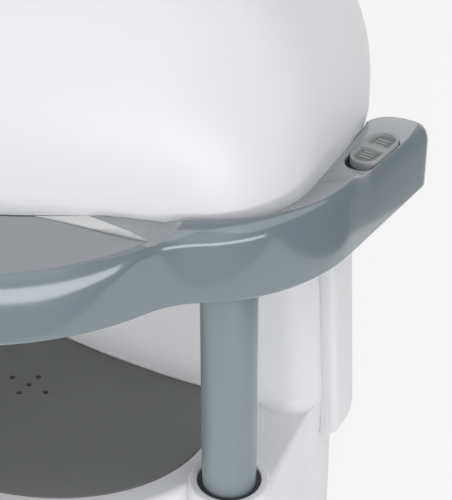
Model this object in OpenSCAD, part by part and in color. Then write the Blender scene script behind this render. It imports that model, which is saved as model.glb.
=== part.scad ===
// Table-top hood hair dryer: a hood and collar that ride on two telescoping posts over a weighted base.
// Millimetres. The origin is on the table under the middle of the tray, +X right, +Y back, +Z up.

/* [Base] */
// Height of the base's deck above the table
base_h = 100; // [92:1:120]
// Wall of the base shell
base_wall = 3; // [2:0.5:4]
// Thickness of the base's deck
deck_t = 6; // [5:0.5:9]
// Rim of deck round the front of the tray
rim_w = 14; // [10:1:18]
// Gap between the base's flank and the inside of the skirt, at the meeting point of the skirt's side and back
side_gap = 0.6; // [0.4:0.1:3]
// Gap between the base and the inside of the hood's skirt at the back
back_gap = 14; // [12:1:20]
// Radius of the base's rear corners
base_r = 38; // [30:1:40]
// Height of the rubber feet
foot_h = 4; // [3:0.5:8]
// Diameter of the rubber feet
foot_d = 22; // [16:1:30]
// Thickness of the bottom cover
cover_t = 3; // [2:0.5:4]
// Thickness of the ballast weight
weight_t = 12; // [8:1:20]

/* [Tray] */
// Half width of the tray
tray_a = 110; // [100:1:112]
// Half depth of the tray's oval
tray_b = 85; // [78:1:90]
// Middle of the oval, back from the origin
tray_y = 2; // [0:1:6]
// Thickness of the tray
tray_t = 3; // [2:0.5:4]
// Radius of the tray's rear corners
tray_r = 14; // [8:1:20]
// Diameter of the vent holes
vent_d = 3.2; // [2:0.2:5]
// Distance of the side vents from the middle
vent_x = 12; // [8:0.5:18]
// Distance of the front and back vents from the middle
vent_y = 8.5; // [6:0.5:14]

/* [Column] */
// Front of the column at the middle
column_front = 46; // [44:1:52]
// Radius of the column's bowed front
column_bow_r = 530; // [400:10:900]
// Radius of the column's front corners
column_front_r = 18; // [12:1:20]
// Wall of the column
column_wall = 3; // [2:0.5:4]
// Gap between the column's top and the lowered collar
column_gap = 4; // [3:0.5:10]

/* [Posts] */
// Diameter of the posts
post_d = 28; // [26:1:30]
// Wall of the posts
post_wall = 2; // [1.5:0.5:3]
// Distance of each post from the middle
post_x = 138; // [134:1:140]
// Place of the posts, back from the origin
post_y = -6; // [-9:1:-3]
// Diameter of the steel rods inside the posts
rod_d = 20; // [17:0.5:20]
// How far the hood can be raised
lift = 180; // [100:5:185]
// Radius of the bosses round the posts
boss_r = 21; // [19:0.5:24]
// Height of the bosses over the deck
boss_h = 4; // [2:0.5:8]
// Outer diameter of the ring in each boss
ring_d = 33; // [32:0.5:36]
// Depth of that ring
ring_h = 6; // [4:0.5:9]
// Length of the glides in the posts' feet
glide_h = 20; // [12:1:26]

/* [Collar] */
// Clear height between the deck and the lowered collar
bay_h = 130; // [120:1:150]
// Height of the collar
collar_h = 41; // [36:1:48]
// Wall of the collar
collar_wall = 3; // [2.5:0.5:3.5]
// Radius of the round nose
nose_r = 133; // [130:0.5:136]
// Centre of the nose, back from the origin
nose_y = -4; // [-6:0.5:-2]
// Radius of the shoulders
shoulder_r = 88; // [84:1:92]
// Half width over the arms
arm_x = 177; // [175:0.5:180]
// Back end of the shoulders, where the straight arms start
arm_y = 40; // [36:1:44]
// Back end of the arms
arm_end = 122; // [116:1:126]
// Gap between an arm and the hood's side wall
arm_gap = 0.6; // [0.4:0.1:1.2]
// Radius of the hollow between the nose and a shoulder
waist_r = 45; // [35:1:60]
// Lip radius at the nose
lip_nose = 14; // [8:0.5:15]
// Lip radius at the shoulders
lip_arm = 3; // [2:0.5:3]
// How far the tops of the arms lie below the collar's top
arm_sink = 5; // [3:0.5:6]
// Radius of the collar's lower edge
foot_edge = 2.4; // [1:0.1:2.6]
// Distance from the front of the nose to the edge of the deck's panel
deck_rim = 4.8; // [4.6:0.2:8]
// How far the deck of the nose lies below the collar's top
deck_sink = 5; // [3:0.5:6]
// Depth of the deck, from the front of the nose to the step behind it
deck_depth = 83; // [76:1:86]
// Run of that slanted step
deck_slope = 3; // [2:0.5:5]

/* [Hood] */
// Half width where the side and the slanted front face meet, before rounding
hood_corner_x = 163; // [160:1:166]
// Depth position of that meeting line
hood_corner_y = -3; // [-6:1:0]
// Distance from the front of the nose to the meeting point of the slanted faces, before rounding
prow_gap = 29; // [26:0.5:33]
// Half width at the back, before rounding
hood_back_x = 146; // [144:1:149]
// Back of the hood
hood_back = 136; // [134:1:142]
// Radius of the rounded front
prow_r = 120; // [90:1:122]
// Radius of the front corners at the collar
corner_r = 28; // [20:1:36]
// Radius that the front corners grow to at the crown
corner_soft = 80; // [50:2:90]
// Radius of the rear corners
back_r = 50; // [44:1:52]
// Wall of the hood
hood_wall = 3; // [2.5:0.5:3.5]
// Straight wall above the collar
hood_side_h = 10; // [6:1:20]
// Height of the crown above the straight wall
crown_h = 141; // [136:1:150]
// Fullness of the crown, 2 is an ellipse
fullness = 2.2; // [2:0.05:2.5]
// Radius of the round plan that the hood takes on towards its top
crown_r = 138; // [125:1:145]
// Middle of the crown, back from the origin
crown_y = 22; // [20:1:24]
// Front edge of the rear skirt
skirt_front = 79; // [78:1:84]
// Depth of the rear skirt below the collar
skirt_drop = 153; // [120:1:170]
// How much narrower each side of the skirt is under the collar than at its lower edge
skirt_draft = 8; // [4:0.5:9]
// Gap between the skirt's inturned front edges and the column
return_gap = 1; // [0.5:0.1:2]
// Radius of the skirt's lower edge
skirt_r = 6; // [3:0.5:7]
// Radius of the air intake in the crown
intake_r = 40; // [34:1:42]

/* [Air unit] */
// Radius of the head opening
liner_r = 100; // [94:1:101]
// Wall of the liner
liner_wall = 2; // [1.5:0.5:2.5]
// Depth of the liner above the collar's lower face
liner_h = 110; // [100:1:114]
// Radius of the liner's shoulder
liner_round = 50; // [40:1:55]
// Diameter of the air holes in the liner
air_d = 8; // [5:0.5:9]
// Radius of the heater duct
duct_r = 64; // [60:1:66]
// Height of the heater duct
duct_h = 42; // [40:1:44]
// Radius of the motor
motor_r = 18; // [14:1:20]
// Radius of the impeller
impeller_r = 46; // [38:1:48]
// Height of the impeller
impeller_h = 14; // [10:1:14]
// Number of impeller blades
blades = 11; // [7:1:15]

/* [Sliders] */
// Length of a thumb slider
slider_l = 33; // [28:1:34]
// Width of a thumb slider
slider_w = 15; // [13:0.5:15.5]
// How far a slider moves
slider_travel = 4; // [3:0.5:5]
// Middle of a slider at rest, right of the origin
slider_x = 165.8; // [165.4:0.1:166]
// Middle of a slider at rest, back from the origin
slider_y = 80; // [78:1:81]
// Height of a slider above the arm
slider_rise = 1.8; // [1.4:0.1:3]

/* [Hidden] */
$fn = 64;
play = 0.3;
run = 0.06;
eps = 1;
far = 400;

// Levels above the table
collar_z = base_h + bay_h;
collar_top = collar_z + collar_h;
side_top = collar_top + hood_side_h;
crown_top = side_top + crown_h;
skirt_z = collar_z - skirt_drop;
hood_prow = nose_y - nose_r + prow_gap;
deck_back = nose_y - nose_r + deck_depth;
deck_top = collar_top - deck_sink;
arm_top = collar_top - arm_sink;
deck_panel_t = 3;
cover_top = foot_h + cover_t;
column_top = collar_z - column_gap;
roof_z = collar_z + liner_h;
duct_top = roof_z + liner_wall + duct_h;

// Base and column
base_x = hood_back_x - hood_wall - side_gap;
base_back = hood_back - hood_wall - back_gap;

// Posts and rods
post_r = post_d / 2;
post_in = post_r - post_wall;
rod_r = rod_d / 2;
flange_r = boss_r - base_wall - 1;
flange_h = 6.7;
post_foot = cover_top + flange_h + play;
post_top = collar_top - collar_wall - 4;
rod_top = post_top - 14;
guide_z = post_foot + glide_h + lift + eps;
ring_r = ring_d / 2;

// Fasteners
screw_r = 1.5;
head_r = 3;
head_h = 2;
screw_boss_r = 5;
screw_bite = 12;
pilot = screw_bite + 2;

// Curves

function unit(v) = v / norm(v);

function arc(c, r, a0, a1, n) = [for (i = [0:n]) let (a = a0 + (a1 - a0) * i / n) c + r * [cos(a), sin(a)]];

function angle_of(v) = atan2(v[1], v[0]);

// Turn from one angle to another by the shorter way
function turn(a0, a1) = let (d = (a1 - a0) % 360) d > 180 ? d - 360 : d < -180 ? d + 360 : d;

// Corner at q between p and s, rounded by a tangent arc
function corner(p, q, s, r, n) =
  let (
    u = unit(p - q),
    v = unit(s - q),
    half = acos(u * v) / 2,
    c = q + unit(u + v) * r / sin(half),
    a0 = angle_of(q + u * r / tan(half) - c),
    a1 = angle_of(q + v * r / tan(half) - c)
  ) arc(c, r, a0, a0 + turn(a0, a1), n);

// Right half of an outline, front to back, completed by its mirror image
function both_sides(half) =
  concat(half, [for (i = [len(half) - 1:-1:0]) if (abs(half[i][0]) > 0.01) [-half[i][0], half[i][1]]]);

// Point i of a closed outline moved inwards by d
function inward(pts, i, d) =
  let (n = len(pts), t = unit(pts[(i + 1) % n] - pts[(i + n - 1) % n])) pts[i] + d * [-t[1], t[0]];

function inset(pts, d) = [for (i = [0:len(pts) - 1]) inward(pts, i, d)];

// Points that share out a straight stretch
function between(p, q, n) = [for (i = [1:n - 1]) p + (q - p) * i / n];

// Outline with its width scaled
function narrow(pts, k) = [for (p = pts) [p[0] * k, p[1]]];

// Outline as a ring at height z
function at_z(pts, z) = [for (p = pts) [p[0], p[1], z]];

// Outlines seen from above

function hood_half(r) =
  let (
    front = [hood_corner_x, hood_corner_y],
    back = [hood_back_x, hood_back],
    prow = [for (p = corner([-front[0], front[1]], [0, hood_prow], front, prow_r, 16)) if (p[0] > -0.01) p],
    flank = corner([0, hood_prow], front, back, r, 9),
    rear = corner(front, back, [0, hood_back], back_r, 10)
  ) concat(
    prow,
    between(prow[len(prow) - 1], flank[0], 5),
    flank,
    between(flank[9], rear[0], 7),
    rear,
    between(rear[10], [0, hood_back], 5),
    [[0, hood_back]]
  );
hood_outline = both_sides(hood_half(corner_r));
// The front corners grow rounder towards the crown
corner_growth = 1.6;
function corner_at(z) =
  corner_r + (corner_soft - corner_r) * min(1, max(0, corner_growth * (z - collar_top) / (crown_top - collar_top)));

nose_c = [0, nose_y];
shoulder_c = [arm_x - shoulder_r, arm_y];
// Centre of the hollow, which touches both the nose and the shoulder
waist_c =
  let (
    to = shoulder_c - nose_c,
    d = norm(to),
    e = to / d,
    a = nose_r + waist_r,
    b = shoulder_r + waist_r,
    along = (a * a - b * b + d * d) / (2 * d)
  ) nose_c + along * e + sqrt(a * a - along * along) * [e[1], -e[0]];
nose_turn = angle_of(waist_c - nose_c);
shoulder_turn = angle_of(waist_c - shoulder_c);
arm_round = 7;
arm_turn = 10;
collar_back = skirt_front - 2;
// The arms' inner sides run along the hood's side walls
function side_x(y) =
  hood_corner_x + (hood_back_x - hood_corner_x) * (y - hood_corner_y) / (hood_back - hood_corner_y);
arm_in = side_x(collar_back) + arm_gap;
arm_tip = side_x(arm_end) + arm_gap;
collar_half = concat(
  arc(nose_c, nose_r, -90, nose_turn, 20),
  let (a0 = nose_turn + 180, a1 = shoulder_turn + 180)
    [for (i = [1:6]) waist_c + waist_r * [cos(a0 + turn(a0, a1) * i / 6), sin(a0 + turn(a0, a1) * i / 6)]],
  [for (i = [1:12]) let (a = shoulder_turn * (1 - i / 12)) shoulder_c + shoulder_r * [cos(a), sin(a)]],
  between([arm_x, arm_y], [arm_x, arm_end - arm_round], 6),
  corner([arm_x, arm_y], [arm_x, arm_end], [arm_tip, arm_end], arm_round, 5),
  corner([arm_x, arm_end], [arm_tip, arm_end], [arm_in, collar_back], arm_turn, 4),
  corner([arm_tip, arm_end], [arm_in, collar_back], [0, collar_back], 2, 2),
  [[0, collar_back]]
);
collar_outline = both_sides(collar_half);

// The skirt and the column narrow upwards alike
draft_slope = skirt_draft / hood_back_x / skirt_drop;
function skirt_k(z) = 1 - draft_slope * (z - skirt_z);
function column_k(z) = 1 - draft_slope * max(0, z - base_h);

// The column's front is an arc of a large circle round a point behind it
bow_y = column_front + column_bow_r;
function bow_at(x) = bow_y - sqrt(column_bow_r * column_bow_r - x * x);
bow_x = base_x - 2 * column_front_r;
// Where the bow's tangent at its end meets the side
bow_corner = [base_x, bow_at(bow_x) + (base_x - bow_x) * bow_x / (bow_y - bow_at(bow_x))];
column_half = concat(
  [for (i = [0:8]) [bow_x * i / 8, bow_at(bow_x * i / 8)]],
  corner([bow_x, bow_at(bow_x)], bow_corner, [base_x, base_back], column_front_r, 7),
  corner(bow_corner, [base_x, base_back], [0, base_back], base_r, 12),
  [[0, base_back]]
);
column_outline = both_sides(column_half);

// The tray's back edge follows the column's front
tray_turn = 12;
function tray_back(share) = [share * tray_a, bow_at(share * tray_a) - play];
tray_half = concat(
  [for (i = [0:24]) let (a = -90 + (90 + tray_turn) * i / 24) [tray_a * cos(a), tray_y + tray_b * sin(a)]],
  corner([tray_a * cos(tray_turn), tray_y + tray_b * sin(tray_turn)], tray_back(0.9), tray_back(0.6), tray_r, 6),
  [for (i = [5:-1:0]) tray_back(0.12 * i)]
);
tray_outline = both_sides(tray_half);

function oval(a, b, cy) = [for (i = [0:95]) [a * cos(i * 360 / 96), cy + b * sin(i * 360 / 96)]];

// Shared shapes

// Solid through a stack of closed rings with the same number of points
module loft(rings) {
  n = len(rings[0]);
  last = len(rings) - 1;
  polyhedron(
    points = [for (ring = rings) each ring],
    faces = concat(
      [[for (i = [0:n - 1]) i]],
      [for (k = [0:last - 1]) for (i = [0:n - 1]) [k * n + i, (k + 1) * n + i, (k + 1) * n + (i + 1) % n]],
      [for (k = [0:last - 1]) for (i = [0:n - 1]) [k * n + i, (k + 1) * n + (i + 1) % n, k * n + (i + 1) % n]],
      [[for (i = [n - 1:-1:0]) last * n + i]]
    )
  );
}

module slab(outline, z0, z1) {
  translate([0, 0, z0]) linear_extrude(z1 - z0) polygon(outline);
}

module disc(r, z0, z1) {
  translate([0, 0, z0]) cylinder(r = r, h = z1 - z0);
}

module pipe(r_out, r_in, z0, z1) {
  difference() {
    disc(r_out, z0, z1);
    disc(r_in, z0 - eps, z1 + eps);
  }
}

module block(low, high) {
  translate(low) cube(high - low);
}

// A slot with round ends along Y, from y0 to y1
module stadium(w, y0, y1, z0, z1) {
  for (y = [y0 + w / 2, y1 - w / 2]) translate([0, y, 0]) disc(w / 2, z0, z1);
  block([-w / 2, y0 + w / 2, z0], [w / 2, y1 - w / 2, z1]);
}

module at_posts() {
  for (side = [-1, 1]) translate([side * post_x, post_y, 0]) children();
}

module right_and_left() {
  children();
  mirror([1, 0, 0]) children();
}

// A screw standing on its head, which is at z
module screw_up(z, length) {
  disc(head_r, z - head_h, z);
  disc(screw_r, z - head_h / 2, z + length);
}

// Base

// The base's flank runs off each boss as a tangent to the column's front corner, then straight back
flank_end = [base_x, bow_corner[1]];
flank_turn =
  let (to = flank_end - [post_x, post_y]) angle_of(to) - acos(boss_r / norm(to));
flank_start = [post_x, post_y] + boss_r * [cos(flank_turn), sin(flank_turn)];
flank_half = concat(
  [[0, post_y], flank_start],
  corner(flank_start, flank_end, [base_x, base_back], 60, 4),
  corner(flank_end, [base_x, base_back], [0, base_back], base_r, 12),
  [[0, base_back]]
);
flank_outline = both_sides(flank_half);

// The base seen from above, drawn in by d
module base_plan(d, z0, z1) {
  slab(oval(tray_a + rim_w - d, tray_b + rim_w - d, tray_y), z0, z1);
  at_posts() disc(boss_r - d, z0, z1);
  slab([for (p = inset(flank_outline, d)) [p[0], max(p[1], post_y)]], z0, z1);
}

foot_places = [[95, -45], [105, 80]];
module at_feet() {
  for (side = [-1, 1]) for (p = foot_places) translate([side * p[0], p[1], 0]) children();
}

cover_screw_places = [[60, -70], [120, 40]];
module at_cover_screws() {
  for (side = [-1, 1]) for (p = cover_screw_places) translate([side * p[0], p[1], 0]) children();
}

inlet_w = 27;
inlet_h = 20;
inlet_z = 32;
inlet_depth = 20;

module base_shell() {
  color("white") difference() {
    union() {
      difference() {
        union() {
          base_plan(0, foot_h, base_h);
          at_posts() disc(boss_r, base_h - eps, base_h + boss_h);
        }
        base_plan(base_wall, foot_h - eps, base_h - deck_t);
      }
      at_cover_screws() disc(screw_boss_r, cover_top, base_h - eps);
    }
    slab(inset(tray_outline, -play), base_h - tray_t, base_h + eps);
    at_posts() disc(ring_r, base_h + boss_h - ring_h, base_h + boss_h + eps);
    at_posts() disc(post_r + 1, base_h - deck_t - eps, base_h + boss_h + eps);
    at_cover_screws() disc(screw_r, cover_top - eps, cover_top + pilot);
    block([-inlet_w / 2, base_back - base_wall - eps, inlet_z - inlet_h / 2],
      [inlet_w / 2, base_back + eps, inlet_z + inlet_h / 2]);
  }
}

module base_cover() {
  color("dimgray") difference() {
    base_plan(base_wall + play, foot_h, cover_top);
    at_feet() disc(foot_d / 4, foot_h - eps, cover_top + eps);
    at_cover_screws() {
      disc(screw_r, foot_h - eps, cover_top + eps);
      disc(head_r, foot_h - eps, foot_h + head_h);
    }
  }
}

module base_feet() {
  color("black") at_feet() {
    disc(foot_d / 2, 0, foot_h);
    disc(foot_d / 4, foot_h - eps, cover_top);
  }
}

module base_screws() {
  color("silver") at_cover_screws() screw_up(foot_h + head_h, cover_t - head_h + screw_bite);
}

weight_x = 80;
weight_front = -35;
weight_back = 70;
weight_r = 14;
module base_weight() {
  color("darkslategray") slab(both_sides(concat(
    [[0, weight_front]],
    corner([0, weight_front], [weight_x, weight_front], [weight_x, weight_back], weight_r, 6),
    corner([weight_x, weight_front], [weight_x, weight_back], [0, weight_back], weight_r, 6),
    [[0, weight_back]]
  )), cover_top, cover_top + weight_t);
}

module base_tray() {
  color("dimgray") difference() {
    slab(tray_outline, base_h - tray_t, base_h);
    for (p = [[0, 0], [vent_x, 0], [-vent_x, 0], [0, vent_y], [0, -vent_y]]) translate([p[0], p[1], 0])
      disc(vent_d / 2, base_h - tray_t - eps, base_h + eps);
  }
}

module rear_column() {
  inner = inset(column_outline, column_wall);
  inner_top = column_top - column_wall;
  color("white") difference() {
    loft([at_z(column_outline, base_h - eps), at_z(narrow(column_outline, column_k(column_top)), column_top)]);
    block([-far, -far, base_h - 2 * eps], [far, far, base_h]);
    loft([at_z(inner, base_h - 3 * eps), at_z(narrow(inner, column_k(inner_top)), inner_top)]);
  }
}

module boss_rings() {
  color("black") at_posts()
    pipe(ring_r, post_r + play, base_h + boss_h - ring_h, base_h + boss_h - eps);
}

module mains_inlet() {
  color("black") difference() {
    union() {
      block([-inlet_w / 2, base_back - base_wall - inlet_depth, inlet_z - inlet_h / 2],
        [inlet_w / 2, base_back + eps, inlet_z + inlet_h / 2]);
      block([-inlet_w / 2 - 3, base_back, inlet_z - inlet_h / 2 - 3],
        [inlet_w / 2 + 3, base_back + 2, inlet_z + inlet_h / 2 + 3]);
    }
    block([-inlet_w / 2 + 2.5, base_back - inlet_depth + 3, inlet_z - inlet_h / 2 + 2.5],
      [inlet_w / 2 - 2.5, base_back + 2 + eps, inlet_z + inlet_h / 2 - 2.5]);
  }
}

pin_pitch = 10;
module inlet_pins() {
  color("gold") for (side = [-1, 1])
    translate([side * pin_pitch / 2, base_back - inlet_depth + 3, inlet_z]) rotate([-90, 0, 0])
      cylinder(r = 1.2, h = inlet_depth - 8);
}

// Telescoping posts

module rod_flanges() {
  color("silver") at_posts() pipe(flange_r, rod_r, cover_top, cover_top + flange_h);
}

module rod() {
  color("lightgray") pipe(rod_r, rod_r - 2, cover_top, rod_top);
}

module rod_right() {
  translate([post_x, post_y, 0]) rod();
}

module rod_left() {
  translate([-post_x, post_y, 0]) rod();
}

// Bushes on the upper ends of the rods, which run inside the posts
module rod_guides() {
  color("ivory") at_posts() difference() {
    disc(post_in - run, guide_z, rod_top + 2);
    disc(rod_r, guide_z - eps, rod_top);
  }
}

module post() {
  color("slategray") pipe(post_r, post_in, post_foot, post_top);
}

module post_right() {
  translate([post_x, post_y, 0]) post();
}

module post_left() {
  translate([-post_x, post_y, 0]) post();
}

// Bushes in the lower ends of the posts, which run on the rods
module post_glides() {
  color("ivory") at_posts() pipe(post_in, rod_r + run, post_foot, post_foot + glide_h);
}

// Collar

// Share of the shoulder's lip at a point of the outline, 0 on the nose and 1 on the shoulder
lip_front = -30;
lip_back = 20;
function share_of(y, y0, y1) = min(1, max(0, (y - y0) / (y1 - y0)));
// The collar's top slopes down to the arms from ramp_y on, where the lip's round widens again
ramp_y = arm_y + 2;
ramp_l = 20;
lip_end = 10;
lip_round = 0.75 * arm_round;
function lip_at(p) =
  let (
    outer = abs(p[0]) > arm_x - arm_round - 0.1 && p[1] > arm_y,
    wide = p[1] > arm_end - arm_round - 0.1 ? lip_round : lip_end
  ) outer ? lip_arm + (wide - lip_arm) * share_of(p[1], ramp_y, ramp_y + ramp_l)
    : lip_nose + (lip_arm - lip_nose) * share_of(p[1], lip_front, lip_back);

function collar_ring(a, z_edge, way, radii) = [
  for (i = [0:len(collar_outline) - 1])
    let (r = radii[i], p = inward(collar_outline, i, r * (1 - cos(a))), rise = a > 90 ? sin(a) - 1 : 1 - sin(a))
      [p[0], p[1], z_edge - way * r * rise]
];
collar_lips = [for (p = collar_outline) lip_at(p)];
collar_feet = [for (p = collar_outline) min(foot_edge, lip_at(p))];
// The first and last rings overshoot the collar's flat faces and are cut off
collar_rings = concat(
  [for (a = [120, 60, 30, 0]) collar_ring(a, collar_z, -1, collar_feet)],
  [for (a = [0, 15, 30, 45, 60, 75, 105]) collar_ring(a, collar_top, 1, collar_lips)]
);

// The hollow under the lip stays clear of the lip's round
collar_under_lip = [
  for (i = [0:len(collar_outline) - 1])
    inward(collar_outline, i, collar_wall + max(0, 0.6 * (collar_lips[i] - collar_wall)))
];

// Everything above the collar's top outside the hood: the deck, the step behind it, the shoulders and the arms
top_profile = concat(
  [[-far, deck_top], [deck_back, deck_top], [deck_back + deck_slope, collar_top]],
  [for (i = [0:6]) let (t = i / 6) [ramp_y + ramp_l * t, collar_top - arm_sink * t * t * (3 - 2 * t)]],
  [[far, arm_top], [far, collar_top + lip_nose], [-far, collar_top + lip_nose]]
);
module above_top() {
  difference() {
    translate([-far / 2, 0, 0]) rotate([90, 0, 90]) linear_extrude(far) polygon(top_profile);
    slab(hood_outline, deck_top - arm_sink - eps, collar_top + 2 * lip_nose);
  }
}

// The sunk part of the nose in front of the hood, drawn in by d
module nose_deck(d, z0, z1) {
  difference() {
    intersection() {
      translate([nose_c[0], nose_c[1], 0]) disc(nose_r - deck_rim - d, z0, z1);
      block([-far, -far, z0 - eps], [far, deck_back - d, z1 + eps]);
    }
    slab(inset(hood_outline, -d), z0 - eps, z1 + eps);
  }
}

screw_post_r = 4;
screw_inset = 13;
nose_screw_turn = 25;
collar_screw_places = [
  nose_c + (nose_r - screw_inset) * [sin(nose_screw_turn), -cos(nose_screw_turn)],
  [arm_in - screw_post_r, collar_back - 6 * screw_post_r],
  [(arm_x + arm_tip) / 2, arm_end - 12]
];
module at_collar_screws() {
  for (side = [-1, 1]) for (p = collar_screw_places) translate([side * p[0], p[1], 0]) children();
}

// Screw bosses of the hood, one on each side wall and one on each slanted front face
side_boss_y = 36;
face_boss_x = 112;
boss_in = hood_wall + screw_boss_r - 1.2;
side_line = unit([hood_back_x, hood_back] - [hood_corner_x, hood_corner_y]);
face_line = unit([hood_corner_x, hood_corner_y] - [0, hood_prow]);
hood_screw_places = [
  [hood_corner_x, hood_corner_y] + side_line * (side_boss_y - hood_corner_y) + boss_in * [-side_line[1], side_line[0]],
  [0, hood_prow] + face_line * face_boss_x / face_line[0] + boss_in * [-face_line[1], face_line[0]]
];
module at_hood_screws() {
  for (side = [-1, 1]) for (p = hood_screw_places) translate([side * p[0], p[1], 0]) children();
}

slot_w = slider_w + 2 * play;
module slider_slots() {
  right_and_left() translate([slider_x, 0, 0])
    stadium(slot_w, slider_y - slider_l / 2 - slider_travel - play, slider_y + slider_l / 2 + play,
      arm_top - collar_wall - eps, collar_top + eps);
  right_and_left() switch_block(play, arm_top - collar_wall);
}

module collar() {
  cavity_top = collar_top - collar_wall;
  deck_floor = deck_top - deck_panel_t;
  color("slategray") difference() {
    union() {
      difference() {
        difference() {
          loft(collar_rings);
          block([-far, -far, collar_top], [far, far, collar_top + lip_nose]);
          block([-far, -far, collar_z - lip_nose], [far, far, collar_z]);
        }
        slab(inset(collar_outline, collar_wall), collar_z - eps, collar_top - lip_nose + collar_wall);
        difference() {
          slab(collar_under_lip, collar_z - eps, cavity_top);
          right_and_left() block([arm_in - 4 * collar_wall, ramp_y - 2, arm_top - collar_wall], [far, far, collar_top]);
        }
        block([-arm_in + eps, collar_back - 2 * collar_wall, collar_z - eps],
          [arm_in - eps, collar_back + eps, cavity_top]);
      }
      intersection() {
        nose_deck(-collar_wall, deck_floor - collar_wall, cavity_top + eps);
        translate([nose_c[0], nose_c[1], 0]) disc(nose_r - deck_rim + eps, collar_z, collar_top);
      }
      at_posts() disc(post_r + 3, collar_z + deck_panel_t, cavity_top + eps);
      at_collar_screws() disc(screw_post_r, collar_z + deck_panel_t, cavity_top + eps);
    }
    nose_deck(0, deck_floor, collar_top + eps);
    translate([0, crown_y, 0]) disc(liner_r + liner_wall + eps, collar_z - eps, collar_top + eps);
    at_posts() disc(post_r, collar_z - eps, post_top);
    at_collar_screws() disc(screw_r, collar_z - eps, collar_z + deck_panel_t + pilot);
    at_hood_screws() disc(screw_r, cavity_top - eps, collar_top + eps);
    slider_slots();
    above_top();
  }
}

module collar_underside() {
  color("slategray") difference() {
    union() {
      slab(inset(collar_outline, collar_wall + play), collar_z, collar_z + deck_panel_t);
      intersection() {
        slab(narrow(inset(hood_outline, hood_wall + play), skirt_k(collar_z)), collar_z, collar_z + deck_panel_t);
        block([-far, collar_back - 20, collar_z - eps], [far, far, collar_z + deck_panel_t + eps]);
      }
    }
    translate([0, crown_y, 0]) disc(liner_r, collar_z - eps, collar_z + deck_panel_t + eps);
    at_posts() disc(post_r + play, collar_z - eps, collar_z + deck_panel_t + eps);
    at_collar_screws() {
      disc(screw_r, collar_z - eps, collar_z + deck_panel_t + eps);
      disc(head_r, collar_z - eps, collar_z + head_h);
    }
  }
}

module underside_screws() {
  color("silver") at_collar_screws() screw_up(collar_z + head_h, deck_panel_t - head_h + screw_bite);
}

module hood_screws() {
  color("silver") at_hood_screws() screw_up(collar_top - collar_wall, collar_wall + screw_bite);
}

module front_deck() {
  color("gray") nose_deck(play, deck_top - deck_panel_t, deck_top);
}

// Hood

// One ring of the hood drawn in by d, made rounder by the share m and shrunk by s about the crown's middle
function hood_ring(d, s, z, m = 0) = [
  for (p = inset(both_sides(hood_half(corner_at(z))), d))
    let (v = p - [0, crown_y], k = s * (1 - m + m * (crown_r - d) / norm(v))) [v[0] * k, crown_y + v[1] * k, z]
];

// Outer skin for d of 0, and the hollow inside it for d of the wall
function hood_rings(d, z_low) = concat(
  [for (a = [0:30:90]) hood_ring(d + skirt_r * (1 - sin(a)), 1, z_low + skirt_r * (1 - cos(a)))],
  [at_z(narrow(hood_ring(d, 1, 0), skirt_k(collar_z)), collar_z)],
  [for (z = [collar_top, side_top]) hood_ring(d, 1, z)],
  [for (a = [8:8:80])
    let (rise = pow(sin(a), 2 / fullness))
      hood_ring(d, pow(cos(a), 2 / fullness), side_top + (crown_h - d) * rise, pow(rise, 3))]
);

// Inturned front edges of the skirt, which close the gap to the column
skirt_side_x = side_x(skirt_front);
module skirt_returns() {
  right_and_left() loft([for (z = [skirt_z + skirt_r, base_h, collar_z])
    let (near = base_x * column_k(z) + return_gap, away = skirt_side_x * skirt_k(z) - hood_wall / 2)
      at_z([[near, skirt_front - eps], [away, skirt_front - eps], [away, skirt_front + hood_wall],
        [near, skirt_front + hood_wall]], z)]);
}

module hood_shell() {
  color("white") difference() {
    union() {
      difference() {
        loft(hood_rings(0, skirt_z));
        loft(concat([hood_ring(hood_wall + skirt_r, 1, skirt_z - eps)], hood_rings(hood_wall, skirt_z)));
      }
      at_hood_screws() disc(screw_boss_r, collar_top, collar_top + pilot + 6);
      skirt_returns();
    }
    block([-far, -far, skirt_z - eps], [far, skirt_front, collar_top]);
    translate([0, crown_y, 0]) disc(intake_r, side_top, crown_top + eps);
    at_hood_screws() disc(screw_r, collar_top - eps, collar_top + pilot);
  }
}

// Round intake grille: rings carried by spokes, dished like the crown
grille_t = 3;
grille_drop = 5;
grille_spokes = 6;
module crown_grille() {
  edge_z = crown_top - grille_drop;
  dish_r = (intake_r * intake_r + grille_drop * grille_drop) / (2 * grille_drop);
  color("gray") translate([0, crown_y, 0]) intersection() {
    union() {
      pipe(intake_r, intake_r - 4, edge_z - 6, crown_top);
      for (r = [6:8:intake_r - 6]) pipe(r + 2, r - 2, edge_z - 6, crown_top);
      for (i = [0:grille_spokes - 1]) rotate(i * 360 / grille_spokes)
        block([0, -1.5, edge_z - 6], [intake_r - 2, 1.5, crown_top]);
    }
    translate([0, 0, crown_top - dish_r]) difference() {
      sphere(r = dish_r, $fn = 128);
      sphere(r = dish_r - grille_t, $fn = 128);
    }
  }
}

// Air unit, all round one upright axis

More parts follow.
